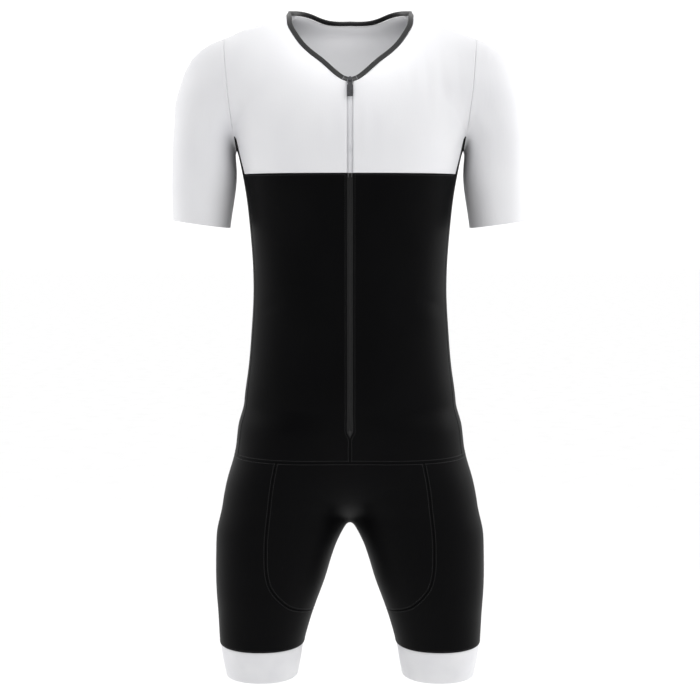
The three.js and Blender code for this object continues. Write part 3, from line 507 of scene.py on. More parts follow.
@dataclass(frozen=True)
class StretchKnit(Finish):
    """Warp-knitted polyamide and elastane, heat-set smooth: a fine matte face with a faint velvet edge."""

    shade: str = "#ffffff"
    sheen: float = 0.1
    # The fine yarns trap most of the light that a solid face would reflect.
    gloss: float = 0.2
    # Knit ribs are about 0.4 mm apart; they are drawn at 1.6 mm, or they wouldn't show at all.
    rib: float = 1.6
    # Print and heat-setting leave slow changes of tone about a hand's breadth long.
    cloud: float = 85.0
    relief: float = 0.00012

    def dress(self, tree: bpy.types.NodeTree) -> None:
        """Knit ribs along the height as bump, and slow changes of tone and gloss."""
        ribs = self.noise(tree, (self.rib, self.rib, self.rib * 14), 1.0)
        loops = self.noise(tree, (self.rib * 0.7, self.rib * 0.7, self.rib * 0.9), 1.0)
        clouds = self.noise(tree, (self.cloud, self.cloud, self.cloud * 1.6), 2.0)
        both = add_node(tree, "ShaderNodeMath", {0: ribs, 1: loops}, operation="ADD").outputs[0]
        bump = add_node(tree, "ShaderNodeBump", {"Height": both, "Strength": 0.5, "Distance": self.relief})
        rough = self.spread(tree, clouds, self.roughness - 0.04, self.roughness + 0.05)
        colour = self.tint(tree, self.spread(tree, clouds, 0.0, 1.0), self.shade)
        sockets = {
            "Base Color": colour,
            "Roughness": rough,
            "IOR": 1.5,
            "Specular IOR Level": self.gloss,
            "Normal": bump.outputs["Normal"],
            "Sheen Weight": self.sheen,
            "Sheen Roughness": 0.45,
        }
        shader = add_node(tree, "ShaderNodeBsdfPrincipled", sockets)
        add_node(tree, "ShaderNodeOutputMaterial", {"Surface": shader.outputs[0]})


@dataclass(frozen=True)
class WovenElastic(Finish):
    """Woven elastic web: fine cross ribs from the covered rubber threads, matte or satin."""

    shade: str = "#ffffff"
    # Ribs of the web are 0.9 mm apart.
    rib: float = 0.9
    across_level: bool = True
    sheen: float = 0.1
    relief: float = 0.0001

    def dress(self, tree: bpy.types.NodeTree) -> None:
        """Ribs as bump and a slight change of tone."""
        grain = (6.0, 6.0, self.rib) if self.across_level else (self.rib, self.rib, self.rib)
        ribs = self.noise(tree, grain, 1.0)
        bump = add_node(tree, "ShaderNodeBump", {"Height": ribs, "Strength": 0.6, "Distance": self.relief})
        clouds = self.noise(tree, (40.0, 40.0, 40.0))
        sockets = {
            "Base Color": self.tint(tree, self.spread(tree, clouds, 0.0, 1.0), self.shade),
            "Roughness": self.spread(tree, clouds, self.roughness - 0.05, self.roughness + 0.05),
            "IOR": 1.5,
            "Normal": bump.outputs["Normal"],
            "Sheen Weight": self.sheen,
            "Sheen Roughness": 0.4,
        }
        shader = add_node(tree, "ShaderNodeBsdfPrincipled", sockets)
        add_node(tree, "ShaderNodeOutputMaterial", {"Surface": shader.outputs[0]})


@dataclass(frozen=True)
class TwoToneZip(Finish):
    """Polyester zip, dyed white above the colour line and black below it, like the cloth beside it."""

    lower: str = "#0b0b0c"
    # Weave ribs of the tape are about 0.7 mm apart.
    rib: float = 0.7

    def dress(self, tree: bpy.types.NodeTree) -> None:
        """Two dyed colours that meet at the colour line, over fine cross ribs."""
        place = add_node(tree, "ShaderNodeTexCoord").outputs["Object"]
        level = add_node(tree, "ShaderNodeSeparateXYZ", {"Vector": place}).outputs["Z"]
        line = COLOUR_LINE_Z * METRE
        sockets = {"Value": level, "From Min": line + METRE / 4, "From Max": line - METRE / 4}
        below = add_node(tree, "ShaderNodeMapRange", sockets).outputs[0]
        ribs = self.noise(tree, (4.0, 4.0, self.rib), 1.0)
        bump = add_node(tree, "ShaderNodeBump", {"Height": ribs, "Strength": 0.6, "Distance": 0.0001})
        sockets = {
            "Base Color": self.tint(tree, below, self.lower),
            "Roughness": self.spread(tree, ribs, self.roughness - 0.06, self.roughness + 0.06),
            "IOR": 1.5,
            "Normal": bump.outputs["Normal"],
        }
        shader = add_node(tree, "ShaderNodeBsdfPrincipled", sockets)
        add_node(tree, "ShaderNodeOutputMaterial", {"Surface": shader.outputs[0]})


@dataclass(frozen=True)
class SpunThread(Finish):
    """Textured polyester thread: soft, matte and slightly fuzzy."""

    def dress(self, tree: bpy.types.NodeTree) -> None:
        """The twist of the plies as a fine bump."""
        # Plies are 0.3 mm apart.
        twist = self.noise(tree, (0.3, 0.3, 0.3), 1.0)
        bump = add_node(tree, "ShaderNodeBump", {"Height": twist, "Strength": 0.5, "Distance": 0.00008})
        sockets = {
            "Base Color": linear(self.colour),
            "Roughness": self.spread(tree, twist, self.roughness - 0.08, self.roughness + 0.08),
            "Normal": bump.outputs["Normal"],
            "Sheen Weight": 0.15,
        }
        shader = add_node(tree, "ShaderNodeBsdfPrincipled", sockets)
        add_node(tree, "ShaderNodeOutputMaterial", {"Surface": shader.outputs[0]})


@dataclass(frozen=True)
class LacqueredZinc(Finish):
    """Die-cast zinc under a dark lacquer: a smooth satin coat that dulls slightly by handling."""

    worn: str = "#5c5c60"

    def dress(self, tree: bpy.types.NodeTree) -> None:
        """Casting grain, handling marks and a thin clear coat."""
        # Casting grain under the lacquer is about 0.5 mm.
        grain = self.noise(tree, (0.5, 0.5, 0.5))
        marks = self.noise(tree, (3.0, 3.0, 5.0), 4.0)
        bump = add_node(tree, "ShaderNodeBump", {"Height": grain, "Strength": 0.3, "Distance": 0.00004})
        sockets = {
            "Base Color": self.tint(tree, self.spread(tree, marks, 0.0, 0.35), self.worn),
            "Metallic": 0.6,
            "Roughness": self.spread(tree, marks, self.roughness - 0.08, self.roughness + 0.1),
            "Normal": bump.outputs["Normal"],
            "Coat Weight": 0.4,
            "Coat Roughness": 0.2,
        }
        shader = add_node(tree, "ShaderNodeBsdfPrincipled", sockets)
        add_node(tree, "ShaderNodeOutputMaterial", {"Surface": shader.outputs[0]})


@dataclass(frozen=True)
class MattePaint(Finish):
    """Matte painted studio floor: pale, with the faintest mottling."""

    def dress(self, tree: bpy.types.NodeTree) -> None:
        """Mottling about a hand's breadth wide."""
        mottle = self.noise(tree, (90.0, 90.0, 90.0))
        colour = self.tint(tree, self.spread(tree, mottle, 0.0, 0.5), "#ffffff")
        sockets = {"Base Color": colour, "Roughness": self.roughness}
        shader = add_node(tree, "ShaderNodeBsdfPrincipled", sockets)
        add_node(tree, "ShaderNodeOutputMaterial", {"Surface": shader.outputs[0]})


WHITE_KNIT = StretchKnit("white_warp_knit_heat_set", "#eaeaec", 0.62, shade="#e4e4e7", sheen=0.1, gloss=0.3)
BLACK_KNIT = StretchKnit("black_warp_knit_heat_set", "#040405", 0.5, shade="#070708", sheen=0.005, gloss=0.045)
LEG_BAND = WovenElastic("white_woven_elastic_band", "#e4e4e6", 0.7, shade="#dcdcdf")
BINDING = WovenElastic("dark_satin_folded_elastic", "#070708", 0.36, shade="#0c0c0e", across_level=False, sheen=0.03)
ZIP_DYED = TwoToneZip("polyester_zip_dyed_two_tone", "#e2e2e5", 0.6)
WHITE_THREAD = SpunThread("white_textured_polyester_thread", "#e6e6e8", 0.75)
BLACK_THREAD = SpunThread("black_textured_polyester_thread", "#070708", 0.7)
# The bar tacks are real, but their grey thread, lighter than the dark binding, paints the glints of light at the
# binding's ends: a painted highlight.
PAINTED_GLINT_THREAD = SpunThread("grey_thread_painted_glint", "#8c8c90", 0.6)
SLIDER_METAL = LacqueredZinc("dark_lacquered_cast_zinc", "#2a2a2d", 0.36)
FLOOR_PAINT = MattePaint("pale_matte_floor_paint", "#f6f6f6", 0.9)


def make_piece(
    name: str, points: np.ndarray, faces: np.ndarray, finish: Finish, slot: str, body: str = SUIT
) -> bpy.types.Object:
    """Makes a smooth triangle mesh that rides on a body.

    Args:
        name: The piece's name.
        points: Its points in millimetres.
        faces: Three point numbers a row.
        finish: Its material.
        slot: The record's material slot; not used.
        body: The body that it moves with.

    Returns:
        The new object.
    """
    mesh = bpy.data.meshes.new(name)
    mesh.vertices.add(len(points))
    mesh.vertices.foreach_set("co", (points * METRE).astype(np.float32).ravel())
    mesh.loops.add(3 * len(faces))
    mesh.loops.foreach_set("vertex_index", faces.astype(np.int32).ravel())
    mesh.polygons.add(len(faces))
    mesh.polygons.foreach_set("loop_start", np.arange(0, 3 * len(faces), 3, dtype=np.int32))
    mesh.update(calc_edges=True)
    mesh.validate()
    mesh.set_sharp_from_angle(angle=math.radians(50))
    mesh.materials.append(finish.material())
    piece = bpy.data.objects.new(name, mesh)
    bpy.context.scene.collection.objects.link(piece)
    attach(piece, body)
    return piece


def tube_faces(rows: int, columns: int) -> np.ndarray:
    """Faces of a closed tube with capped ends.

    Args:
        rows: Sections along the tube.
        columns: Points in each section.

    Returns:
        Three point numbers a row, for points laid section by section.
    """
    faces = []
    for i in range(rows - 1):
        for j in range(columns):
            a, b = i * columns + j, i * columns + (j + 1) % columns
            faces += [(a, b, b + columns), (a, b + columns, a + columns)]
    last = (rows - 1) * columns
    for j in range(1, columns - 1):
        faces += [(0, j + 1, j), (last, last + j, last + j + 1)]
    return np.array(faces)


@dataclass(frozen=True)
class Bead:
    """A small rounded bar, such as one stitch or one zip tooth, repeated along a line."""

    length: float
    half_width: float
    height: float
    sunk: float = 0.05

    def template(self) -> tuple[np.ndarray, np.ndarray]:
        """One bead along +X with +Z out, as points and faces."""
        half = self.length / 2
        points = [(-half, 0, -self.sunk)]
        for x in (-half * 0.6, half * 0.6):
            points += [(x, -self.half_width, -self.sunk), (x, 0, self.height), (x, self.half_width, -self.sunk)]
        points.append((half, 0, -self.sunk))
        faces = [(0, 2, 1), (0, 3, 2), (0, 1, 3), (7, 4, 5), (7, 5, 6), (7, 6, 4)]
        for a, b in ((1, 2), (2, 3), (3, 1)):
            faces += [(a, b, b + 3), (a, b + 3, a + 3)]
        return np.array(points, float), np.array(faces)

    def strew(self, centres: np.ndarray, ways: np.ndarray, normals: np.ndarray) -> tuple[np.ndarray, np.ndarray]:
        """A bead at each centre.

        Args:
            centres: The beads' places.
            ways: Their long directions.
            normals: Their outward directions.

        Returns:
            All their points and faces.
        """
        shape, faces = self.template()
        out = unit(normals)
        long = unit(ways - (ways * out).sum(1)[:, None] * out)
        side = np.cross(out, long)
        axes = np.stack([long, side, out], 1)
        points = centres[:, None, :] + np.einsum("vk,nkc->nvc", shape, axes)
        shift = np.arange(len(centres))[:, None, None] * len(shape)
        return points.reshape(-1, 3), (faces[None] + shift).reshape(-1, 3)


class Sheet:
    """A solid's outer face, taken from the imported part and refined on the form."""

    CORNER = math.cos(math.radians(38))

    def __init__(self, node: str, form: WornForm, levels: int) -> None:
        """Takes the outer face and refines it.

        Args:
            node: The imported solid.
            form: The form that it lies on.
            levels: How often each edge is halved.
        """
        self.form = form
        self.points, self.triangles = self._outer_face(node)
        for _ in range(levels):
            self._halve()
        self.normals = form.normal(self.points)

    def _outer_face(self, node: str) -> tuple[np.ndarray, np.ndarray]:
        """The solid's points on the form, each once, and the triangles between them."""
        mesh = frame["nodes"][node].data
        mesh.calc_loop_triangles()
        raw = np.zeros(len(mesh.vertices) * 3)
        mesh.vertices.foreach_get("co", raw)
        corners = np.zeros(len(mesh.loop_triangles) * 3, int)
        mesh.loop_triangles.foreach_get("vertices", corners)
        raw = raw.reshape(-1, 3) / METRE
        _, first, number = np.unique(np.round(raw, 2), axis=0, return_index=True, return_inverse=True)
        points = raw[first]
        triangles = number.reshape(-1)[corners].reshape(-1, 3)
        outside = self.form.value(points) > -0.75
        triangles = triangles[outside[triangles].all(1)]
        used, triangles = np.unique(triangles, return_inverse=True)
        return points[used], triangles.reshape(-1, 3)

    def rim(self) -> tuple[np.ndarray, np.ndarray]:
        """For each point, the next and the previous point of its rim, or -1."""
        starts = self.triangles.ravel()
        ends = np.roll(self.triangles, -1, axis=1).ravel()
        count = len(self.points)
        free = ~np.isin(starts * count + ends, ends * count + starts)
        after = np.full(count, -1)
        before = np.full(count, -1)
        after[starts[free]] = ends[free]
        before[ends[free]] = starts[free]
        return after, before

    def _halve(self) -> None:
        """Halves every edge: rims by the four-point rule, and all new points settle on the form."""
        edges = np.sort(self.triangles[:, [0, 1, 1, 2, 2, 0]].reshape(-1, 2), axis=1)
        pairs, number = np.unique(edges, axis=0, return_inverse=True)
        number = number.reshape(-1, 3) + len(self.points)
        middles = self.points[pairs].mean(1)
        after, before = self.rim()
        starts = np.flatnonzero(after >= 0)
        ends = after[starts]
        a, b = self.points[starts], self.points[ends]
        outer_a = self._beyond(self.points[before[starts]], a, b)
        outer_b = self._beyond(self.points[after[ends]], b, a)
        bowed = (9 * (a + b) - outer_a - outer_b) / 16
        keys = pairs[:, 0] * len(self.points) + pairs[:, 1]
        wanted = np.minimum(starts, ends) * len(self.points) + np.maximum(starts, ends)
        middles[np.searchsorted(keys, wanted)] = bowed
        self.points = np.concatenate([self.points, self.form.settle(middles)])
        a, b, c = self.triangles.T
        ab, bc, ca = number.T
        parts = [(a, ab, ca), (ab, b, bc), (ca, bc, c), (ab, bc, ca)]
        self.triangles = np.concatenate([np.stack(part, 1) for part in parts])

    def _beyond(self, outer: np.ndarray, near: np.ndarray, far: np.ndarray) -> np.ndarray:
        """The rim's next point past near, or a straight run-on where the rim turns a corner."""
        straight = (unit(near - far) * unit(outer - near)).sum(1) > self.CORNER
        return np.where(straight[:, None], outer, 2 * near - far)

    def rim_ways(self) -> tuple[np.ndarray, np.ndarray, np.ndarray]:
        """The rim's points, and their directions into the sheet and along the rim."""
        after, before = self.rim()
        on = np.flatnonzero(after >= 0)
        here, normal = self.points[on], self.normals[on]
        behind = unit(np.cross(normal, here - self.points[before[on]]))
        ahead = unit(np.cross(normal, self.points[after[on]] - here))
        open_by = np.maximum(1 + (behind * ahead).sum(1), 0.35)[:, None]
        return on, (behind + ahead) / open_by, unit(self.points[after[on]] - self.points[before[on]])

    def rim_loops(self) -> list[np.ndarray]:
        """The rims as closed runs of point numbers."""
        after, _ = self.rim()
        left = set(np.flatnonzero(after >= 0).tolist())
        loops = []
        while left:
            run = [left.pop()]
            while after[run[-1]] != run[0]:
                run.append(int(after[run[-1]]))
                left.discard(run[-1])
            loops.append(np.array(run))
        return loops


@dataclass
class ClothPanel:
    """One cut piece of cloth as a thin shell on its solid's form, with rolled edges at its seams."""

    node: str
    finish: Finish
    thread: Finish
    slot: str
    flat: tuple[float, float]
    cut_area: float
    rests_on: tuple[str, ...]
    levels: int = 3
    wall: float = 1.1
    roll: float = 1.3
    sink: float = 0.55
    squeeze: float = 0.0
    pressed_share: float = 0.2
    stitch_inset: float = 2.4
    stitch_pitch: float = 3.1
    stitch: Bead = field(default_factory=lambda: Bead(2.3, 0.3, 0.28))

    def build(self, form: WornForm, creases: CreaseSet) -> tuple[bpy.types.Object, bpy.types.Object | None]:
        """Builds the shell and its stitch rows.

        Args:
            form: The form that the cloth lies on.
            creases: The creases that lift it.

        Returns:
            The shell and the stitches, or None where it has none.
        """
        sheet = Sheet(self.node, form, self.levels)
        stitches = self._stitches(sheet, form, creases)
        lift = creases.lift(sheet.points) - self.squeeze
        on, inwards, _ = sheet.rim_ways()
        after, _ = sheet.rim()
        rim_points = sheet.points[on] + sheet.normals[on] * lift[on, None]
        rim_normals = sheet.normals[on]
        roll = self.roll * self._seam_share(sheet.points[on])[:, None]
        sink = self.sink * self._seam_share(sheet.points[on])[:, None]
        points = sheet.points + sheet.normals * lift[:, None]
        points[on] = rim_points + inwards * roll
        rings = [
            rim_points + inwards * roll * 0.35 - rim_normals * sink * 0.25,
            rim_points - rim_normals * sink,
        ]
        count = len(points)
        place = np.full(count, -1)
        place[on] = np.arange(len(on))
        inner_ring, outer_ring = on, count + np.arange(len(on))
        triangles = [sheet.triangles]
        for ring in range(2):
            nxt = outer_ring[place[after[on]]]
            inner_next = inner_ring[place[after[on]]]
            triangles.append(np.stack([inner_next, inner_ring, outer_ring], 1))
            triangles.append(np.stack([inner_next, outer_ring, nxt], 1))
            inner_ring = outer_ring
            outer_ring = outer_ring + len(on)
        points = np.concatenate([points, *rings])
        normals = np.concatenate([sheet.normals, rim_normals, rim_normals])
        faces = np.concatenate(triangles)
        shift = len(points)
        edge = inner_ring
        edge_next = inner_ring[place[after[on]]]
        sides = [
            np.stack([edge_next, edge, edge + shift], 1),
            np.stack([edge_next, edge + shift, edge_next + shift], 1),
        ]
        faces = np.concatenate([faces, faces[:, ::-1] + shift, *sides])
        points = np.concatenate([points, points - normals * self.wall])
        shell = make_piece(f"{self.node}_cloth", points, faces, self.finish, self.slot)
        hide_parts(self.node)
        return shell, stitches

    def _seam_share(self, p: np.ndarray) -> np.ndarray:
        """How deep the seam is at each place: the waist and the closed front are pressed almost flat."""
        flat_waist = ramp(np.abs(p[:, 2] - WAIST_Z), 6.0, 1.0)
        closed_front = ramp(np.abs(p[:, 0]), 5.0, 2.0) * ramp(p[:, 2], ZIP_END_Z - 1, ZIP_END_Z - 9) * (p[:, 1] < 0)
        colour_line = ramp(np.abs(p[:, 2] - COLOUR_LINE_Z), 4.0, 0.5)
        pressed = np.maximum(np.maximum(flat_waist, closed_front), colour_line * 0.6)
        return 1 - (1 - self.pressed_share) * pressed

    def _stitches(self, sheet: Sheet, form: WornForm, creases: CreaseSet) -> bpy.types.Object | None:
        """Rows of stitches just inside the seams, left off at bare hems."""
        on, inwards, along = sheet.rim_ways()
        place = np.full(len(sheet.points), -1)
        place[on] = np.arange(len(on))
        centres, ways = [], []
        for loop in sheet.rim_loops():
            ring = np.append(loop, loop[0])
            steps = np.linalg.norm(np.diff(sheet.points[ring], axis=0), axis=1)
            run = np.concatenate([[0], np.cumsum(steps)])
            marks = np.arange(0, run[-1], self.stitch_pitch)
            rows = place[ring]
            inset = sheet.points[on][rows] + inwards[rows] * self.stitch_inset
            centres.append(read_along(inset, run, marks))
            ways.append(read_along(along[rows], run, marks))
        centres, ways = np.concatenate(centres), np.concatenate(ways)
        side = centres.copy()
        side[:, 0] = np.abs(side[:, 0])
        sleeve_hem = (np.abs((side - SLEEVE_HEM_CENTRE) @ SLEEVE_HEM_DOWN) < 5) & (side[:, 0] > 150)
        keep = ~sleeve_hem
        if not keep.any():
            return None
        centres = form.settle(centres[keep])
        normals = form.normal(centres)
        centres = centres + normals * (creases.lift(centres) - self.squeeze)[:, None]
        points, faces = self.stitch.strew(centres, ways[keep], normals)
        return make_piece(f"{self.node}_stitches", points, faces, self.thread, self.slot)


@dataclass
class NeckBinding:
    """The elastic binding folded over the neck edge, and the bar tacks that end it at the zip."""

    width: float = 7.2
    proud: float = 0.65
    thick: float = 2.2
    axis_y: float = 12.0
    front_turn: float = -87.6
    steps: int = 260
    flat: tuple[float, float] = (0.6, 0.0105)
    tack: Bead = field(default_factory=lambda: Bead(1.5, 0.32, 0.35))
    tack_pitch: float = 0.75
    tack_count: int = 8
    tack_from_middle: float = 10.5

    def neckline(self, form: WornForm) -> np.ndarray:
        """The neck seam's points, from the wearer's left zip edge round the back to the right one."""
        table = SectionTable(("z",), NECKLINE_ROWS)
        turns = np.linspace(self.front_turn, 90, self.steps)
        levels = table.read("z", turns)
        origins = np.stack([np.zeros_like(turns), np.full_like(turns, self.axis_y), levels], 1)
        angle = np.radians(turns)
        half = form.cast(origins, np.stack([np.cos(angle), np.sin(angle), np.zeros_like(angle)], 1))
        half[-1, 0] = 0
        return np.concatenate([half, half[-2::-1] * [-1, 1, 1]])

    def build(self, form: WornForm) -> list[bpy.types.Object]:
        """Builds the binding, its stitch row and the bar tacks.

        Args:
            form: The form that the neck edge lies on.

        Returns:
            The pieces, the binding first.
        """
        line = self.neckline(form)
        along = unit(np.gradient(line, axis=0))
        normal = form.normal(line)
        inwards = unit(np.cross(normal, along))
        inwards *= np.sign((inwards * (np.array([0, self.axis_y, 40.0]) - line)).sum(1))[:, None]
        # The section: across from 0 at the seam to 1 at the fold, and out from the cloth.
        low = self.proud - self.thick
        section = [
            (0.00, -0.25), (0.01, 0.25), (0.05, self.proud * 0.85), (0.16, self.proud), (0.27, self.proud * 0.8),
            (0.36, self.proud), (0.62, self.proud + 0.12), (0.84, self.proud - 0.05), (0.96, self.proud - 0.55),
            (1.00, (self.proud + low) / 2), (0.96, low + 0.5), (0.84, low + 0.1), (0.5, low), (0.05, low),
        ]
        rows = []
        for across, out in section:
            spot = form.settle(line + inwards * (0.15 + across * (self.width - 0.15)))
            rows.append(spot + form.normal(spot) * out)
        points = np.stack(rows, 1).reshape(-1, 3)
        faces = tube_faces(len(line), len(section))
        band = make_piece("neck_binding_cloth", points, faces, BINDING, "binding_grey")
        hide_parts("neck_binding")
        return [band, self._row(line, inwards, form), *self._tacks(line, inwards, form)]

    def _row(self, line: np.ndarray, inwards: np.ndarray, form: WornForm) -> bpy.types.Object:
        """The stitch row that holds the folded binding, in the groove near its seam."""
        lengths = np.concatenate([[0], np.cumsum(np.linalg.norm(np.diff(line, axis=0), axis=1))])
        marks = np.arange(1.5, lengths[-1] - 1.5, 2.6)
        spots = line + inwards * 1.75
        centres = read_along(spots, lengths, marks)
        ways = read_along(np.gradient(spots, axis=0), lengths, marks)
        normals = form.normal(centres)
        bead = Bead(1.9, 0.28, 0.22)
        points, faces = bead.strew(form.settle(centres) + normals * self.proud * 0.85, ways, normals)
        return make_piece("neck_binding_stitches", points, faces, BLACK_THREAD, "binding_grey")

    def _tacks(self, line: np.ndarray, inwards: np.ndarray, form: WornForm) -> list[bpy.types.Object]:
        """A close bar of thread across the binding at each of its ends; its grey, lighter than the binding, is a
        painted highlight for the glints there.
        """
        pieces = []
        station = int(np.argmax(line[:, 0] > self.tack_from_middle))
        for name, index in (("left", station), ("right", -1 - station)):
            shares = 1.2 + np.arange(self.tack_count) * self.tack_pitch
            spots = form.settle(line[index] + inwards[index] * shares[:, None])
            normals = form.normal(spots)
            ways = np.broadcast_to(line[index] - line[index - 1], spots.shape)
            points, faces = self.tack.strew(spots + normals * (self.proud + 0.02), ways, normals)
            pieces.append(make_piece(f"bar_tack_{name}", points, faces, PAINTED_GLINT_THREAD, "binding_grey"))
        return pieces


@dataclass
class FrontZip:
    """The zip: coil teeth on the chain, dyed tapes, the slider and its hanging pull tab."""

    tooth_pitch: float = 1.6
    tooth_out: float = -0.55
    tooth_across: float = 0.95
    tooth: Bead = field(default_factory=lambda: Bead(2.5, 0.52, 0.55, 0.2))
    tape_flat: tuple[float, float] = (0.0105, 0.486)
    slider_z: float = -100.0
    slider_half: float = 4.7
    bevel: float = 0.3
    grip_from_pivot: float = 10.2
    grip_length: float = 13.2
    grip_half: float = 2.9
    grip_corner: float = 0.9
    grip_wire: float = 0.36
    tab_face: float = 0.75

    def build(self, form: WornForm) -> list[bpy.types.Object]:
        """Builds the teeth and the tab's raised edge, and dresses the solids that stay.

        Args:
            form: The form that the zip lies on.

        Returns:
            The new pieces.
        """
        nodes = frame["nodes"]
        for name in ("zip_tape_left", "zip_tape_right", "zip_chain"):
            self._dress(nodes[name], ZIP_DYED, 0.0)
        for name in ("zip_slider", "pull_tab"):
            self._dress(nodes[name], SLIDER_METAL, self.bevel)
        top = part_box("zip_chain")[1].z / METRE - 1.0
        levels = np.arange(ZIP_END_Z + 2, top, self.tooth_pitch)
        levels = levels[np.abs(levels - self.slider_z) > self.slider_half]
        upper = levels > COLOUR_LINE_Z
        pieces = [
            self._teeth("zip_teeth_upper", levels[upper], form),
            self._teeth("zip_teeth_lower", levels[~upper], form),
            self._grip(form),
        ]
        return pieces

    def _dress(self, node: bpy.types.Object, finish: Finish, bevel: float) -> None:
        """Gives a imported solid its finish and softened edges."""
        node.data.materials.clear()
        node.data.materials.append(finish.material())
        if bevel > 0:
            edge = node.modifiers.new("softened_edges", "BEVEL")
            edge.width = bevel * METRE
            edge.segments = 2
            edge.limit_method = "ANGLE"
            edge.angle_limit = math.radians(40)

    def _teeth(self, name: str, levels: np.ndarray, form: WornForm) -> bpy.types.Object:
        """Left and right coil teeth by turns, half a pitch apart."""
        every = []
        for side, lag in ((1, 0.0), (-1, self.tooth_pitch / 2)):
            every.append(form.on_front(np.full(len(levels), side * self.tooth_across), levels + lag))
        spots = np.concatenate(every)
        normals = form.normal(spots)
        ways = np.broadcast_to([1.0, 0.0, 0.0], spots.shape)
        points, faces = self.tooth.strew(spots + normals * self.tooth_out, ways, normals)
        return make_piece(name, points, faces, ZIP_DYED, "coil_grey")

    def _grip(self, form: WornForm) -> bpy.types.Object:
        """A raised edge and a slim middle rib on the pull tab's face."""
        pivot = np.array(frame["joints"][0]["pos_m"]) / METRE
        at = form.on_front(np.array([0.0]), np.array([self.slider_z]))
        out = form.normal(at)[0]
        down = -np.cross([-1.0, 0.0, 0.0], out)
        axes = np.stack([np.array([1.0, 0.0, 0.0]), down, out])
        corner = self.grip_corner
        far, near = self.grip_length - corner, corner
        turns = np.radians(np.arange(0, 91, 15))
        loop = []
        for side, level, start in ((1, far, 0), (-1, far, 90), (-1, near, 180), (1, near, 270)):
            angle = turns + math.radians(start)
            across = side * (self.grip_half - corner) + corner * np.cos(angle)
            along = level + corner * np.sin(angle)
            loop.append(np.stack([across, along, np.zeros_like(angle)], 1))
        edge = np.concatenate(loop)
        levels = np.linspace(near + 0.8, far - 0.8, 12)
        rib = np.stack([np.zeros_like(levels), levels, np.zeros_like(levels)], 1)
        origin = pivot + down * self.grip_from_pivot + out * self.tab_face
        points, faces, shift = [], [], 0
        for line, closed in ((edge, True), (rib, False)):
            wire, sides = self._wire(line, closed)
            points.append(origin + wire @ axes)
            faces.append(sides + shift)
            shift += len(wire)
        every = np.concatenate(points), np.concatenate(faces)
        return make_piece("pull_tab_grip", *every, SLIDER_METAL, "slider_metal", TAB)

    def _wire(self, line: np.ndarray, closed: bool) -> tuple[np.ndarray, np.ndarray]:
        """A low round bar along a flat line.

        Args:
            line: Its points, in the plane of the first two axes.
            closed: Whether its end joins its start.

        Returns:
            Points and faces, in the same axes.
        """
        if closed:
            ways = np.roll(line, -1, axis=0) - np.roll(line, 1, axis=0)
        else:
            ways = np.gradient(line, axis=0)
        across = unit(np.stack([-ways[:, 1], ways[:, 0], np.zeros(len(line))], 1))
        turns = np.radians(np.arange(0, 360, 45))
        out = np.array([0.0, 0.0, 1.0])
        ring = across[:, None, :] * np.cos(turns)[None, :, None] + out * np.sin(turns)[None, :, None]
        points = line[:, None, :] + ring * self.grip_wire
        count = len(turns)
        faces = tube_faces(len(line), count)
        if closed:
            caps = 2 * (count - 2)
            faces = faces[:-caps]
            last = (len(line) - 1) * count
            here = np.arange(count)
            after = (here + 1) % count
            seam = [np.stack([last + here, last + after, after], 1), np.stack([last + here, after, here], 1)]
            faces = np.concatenate([faces, *seam])
        return points.reshape(-1, 3), faces


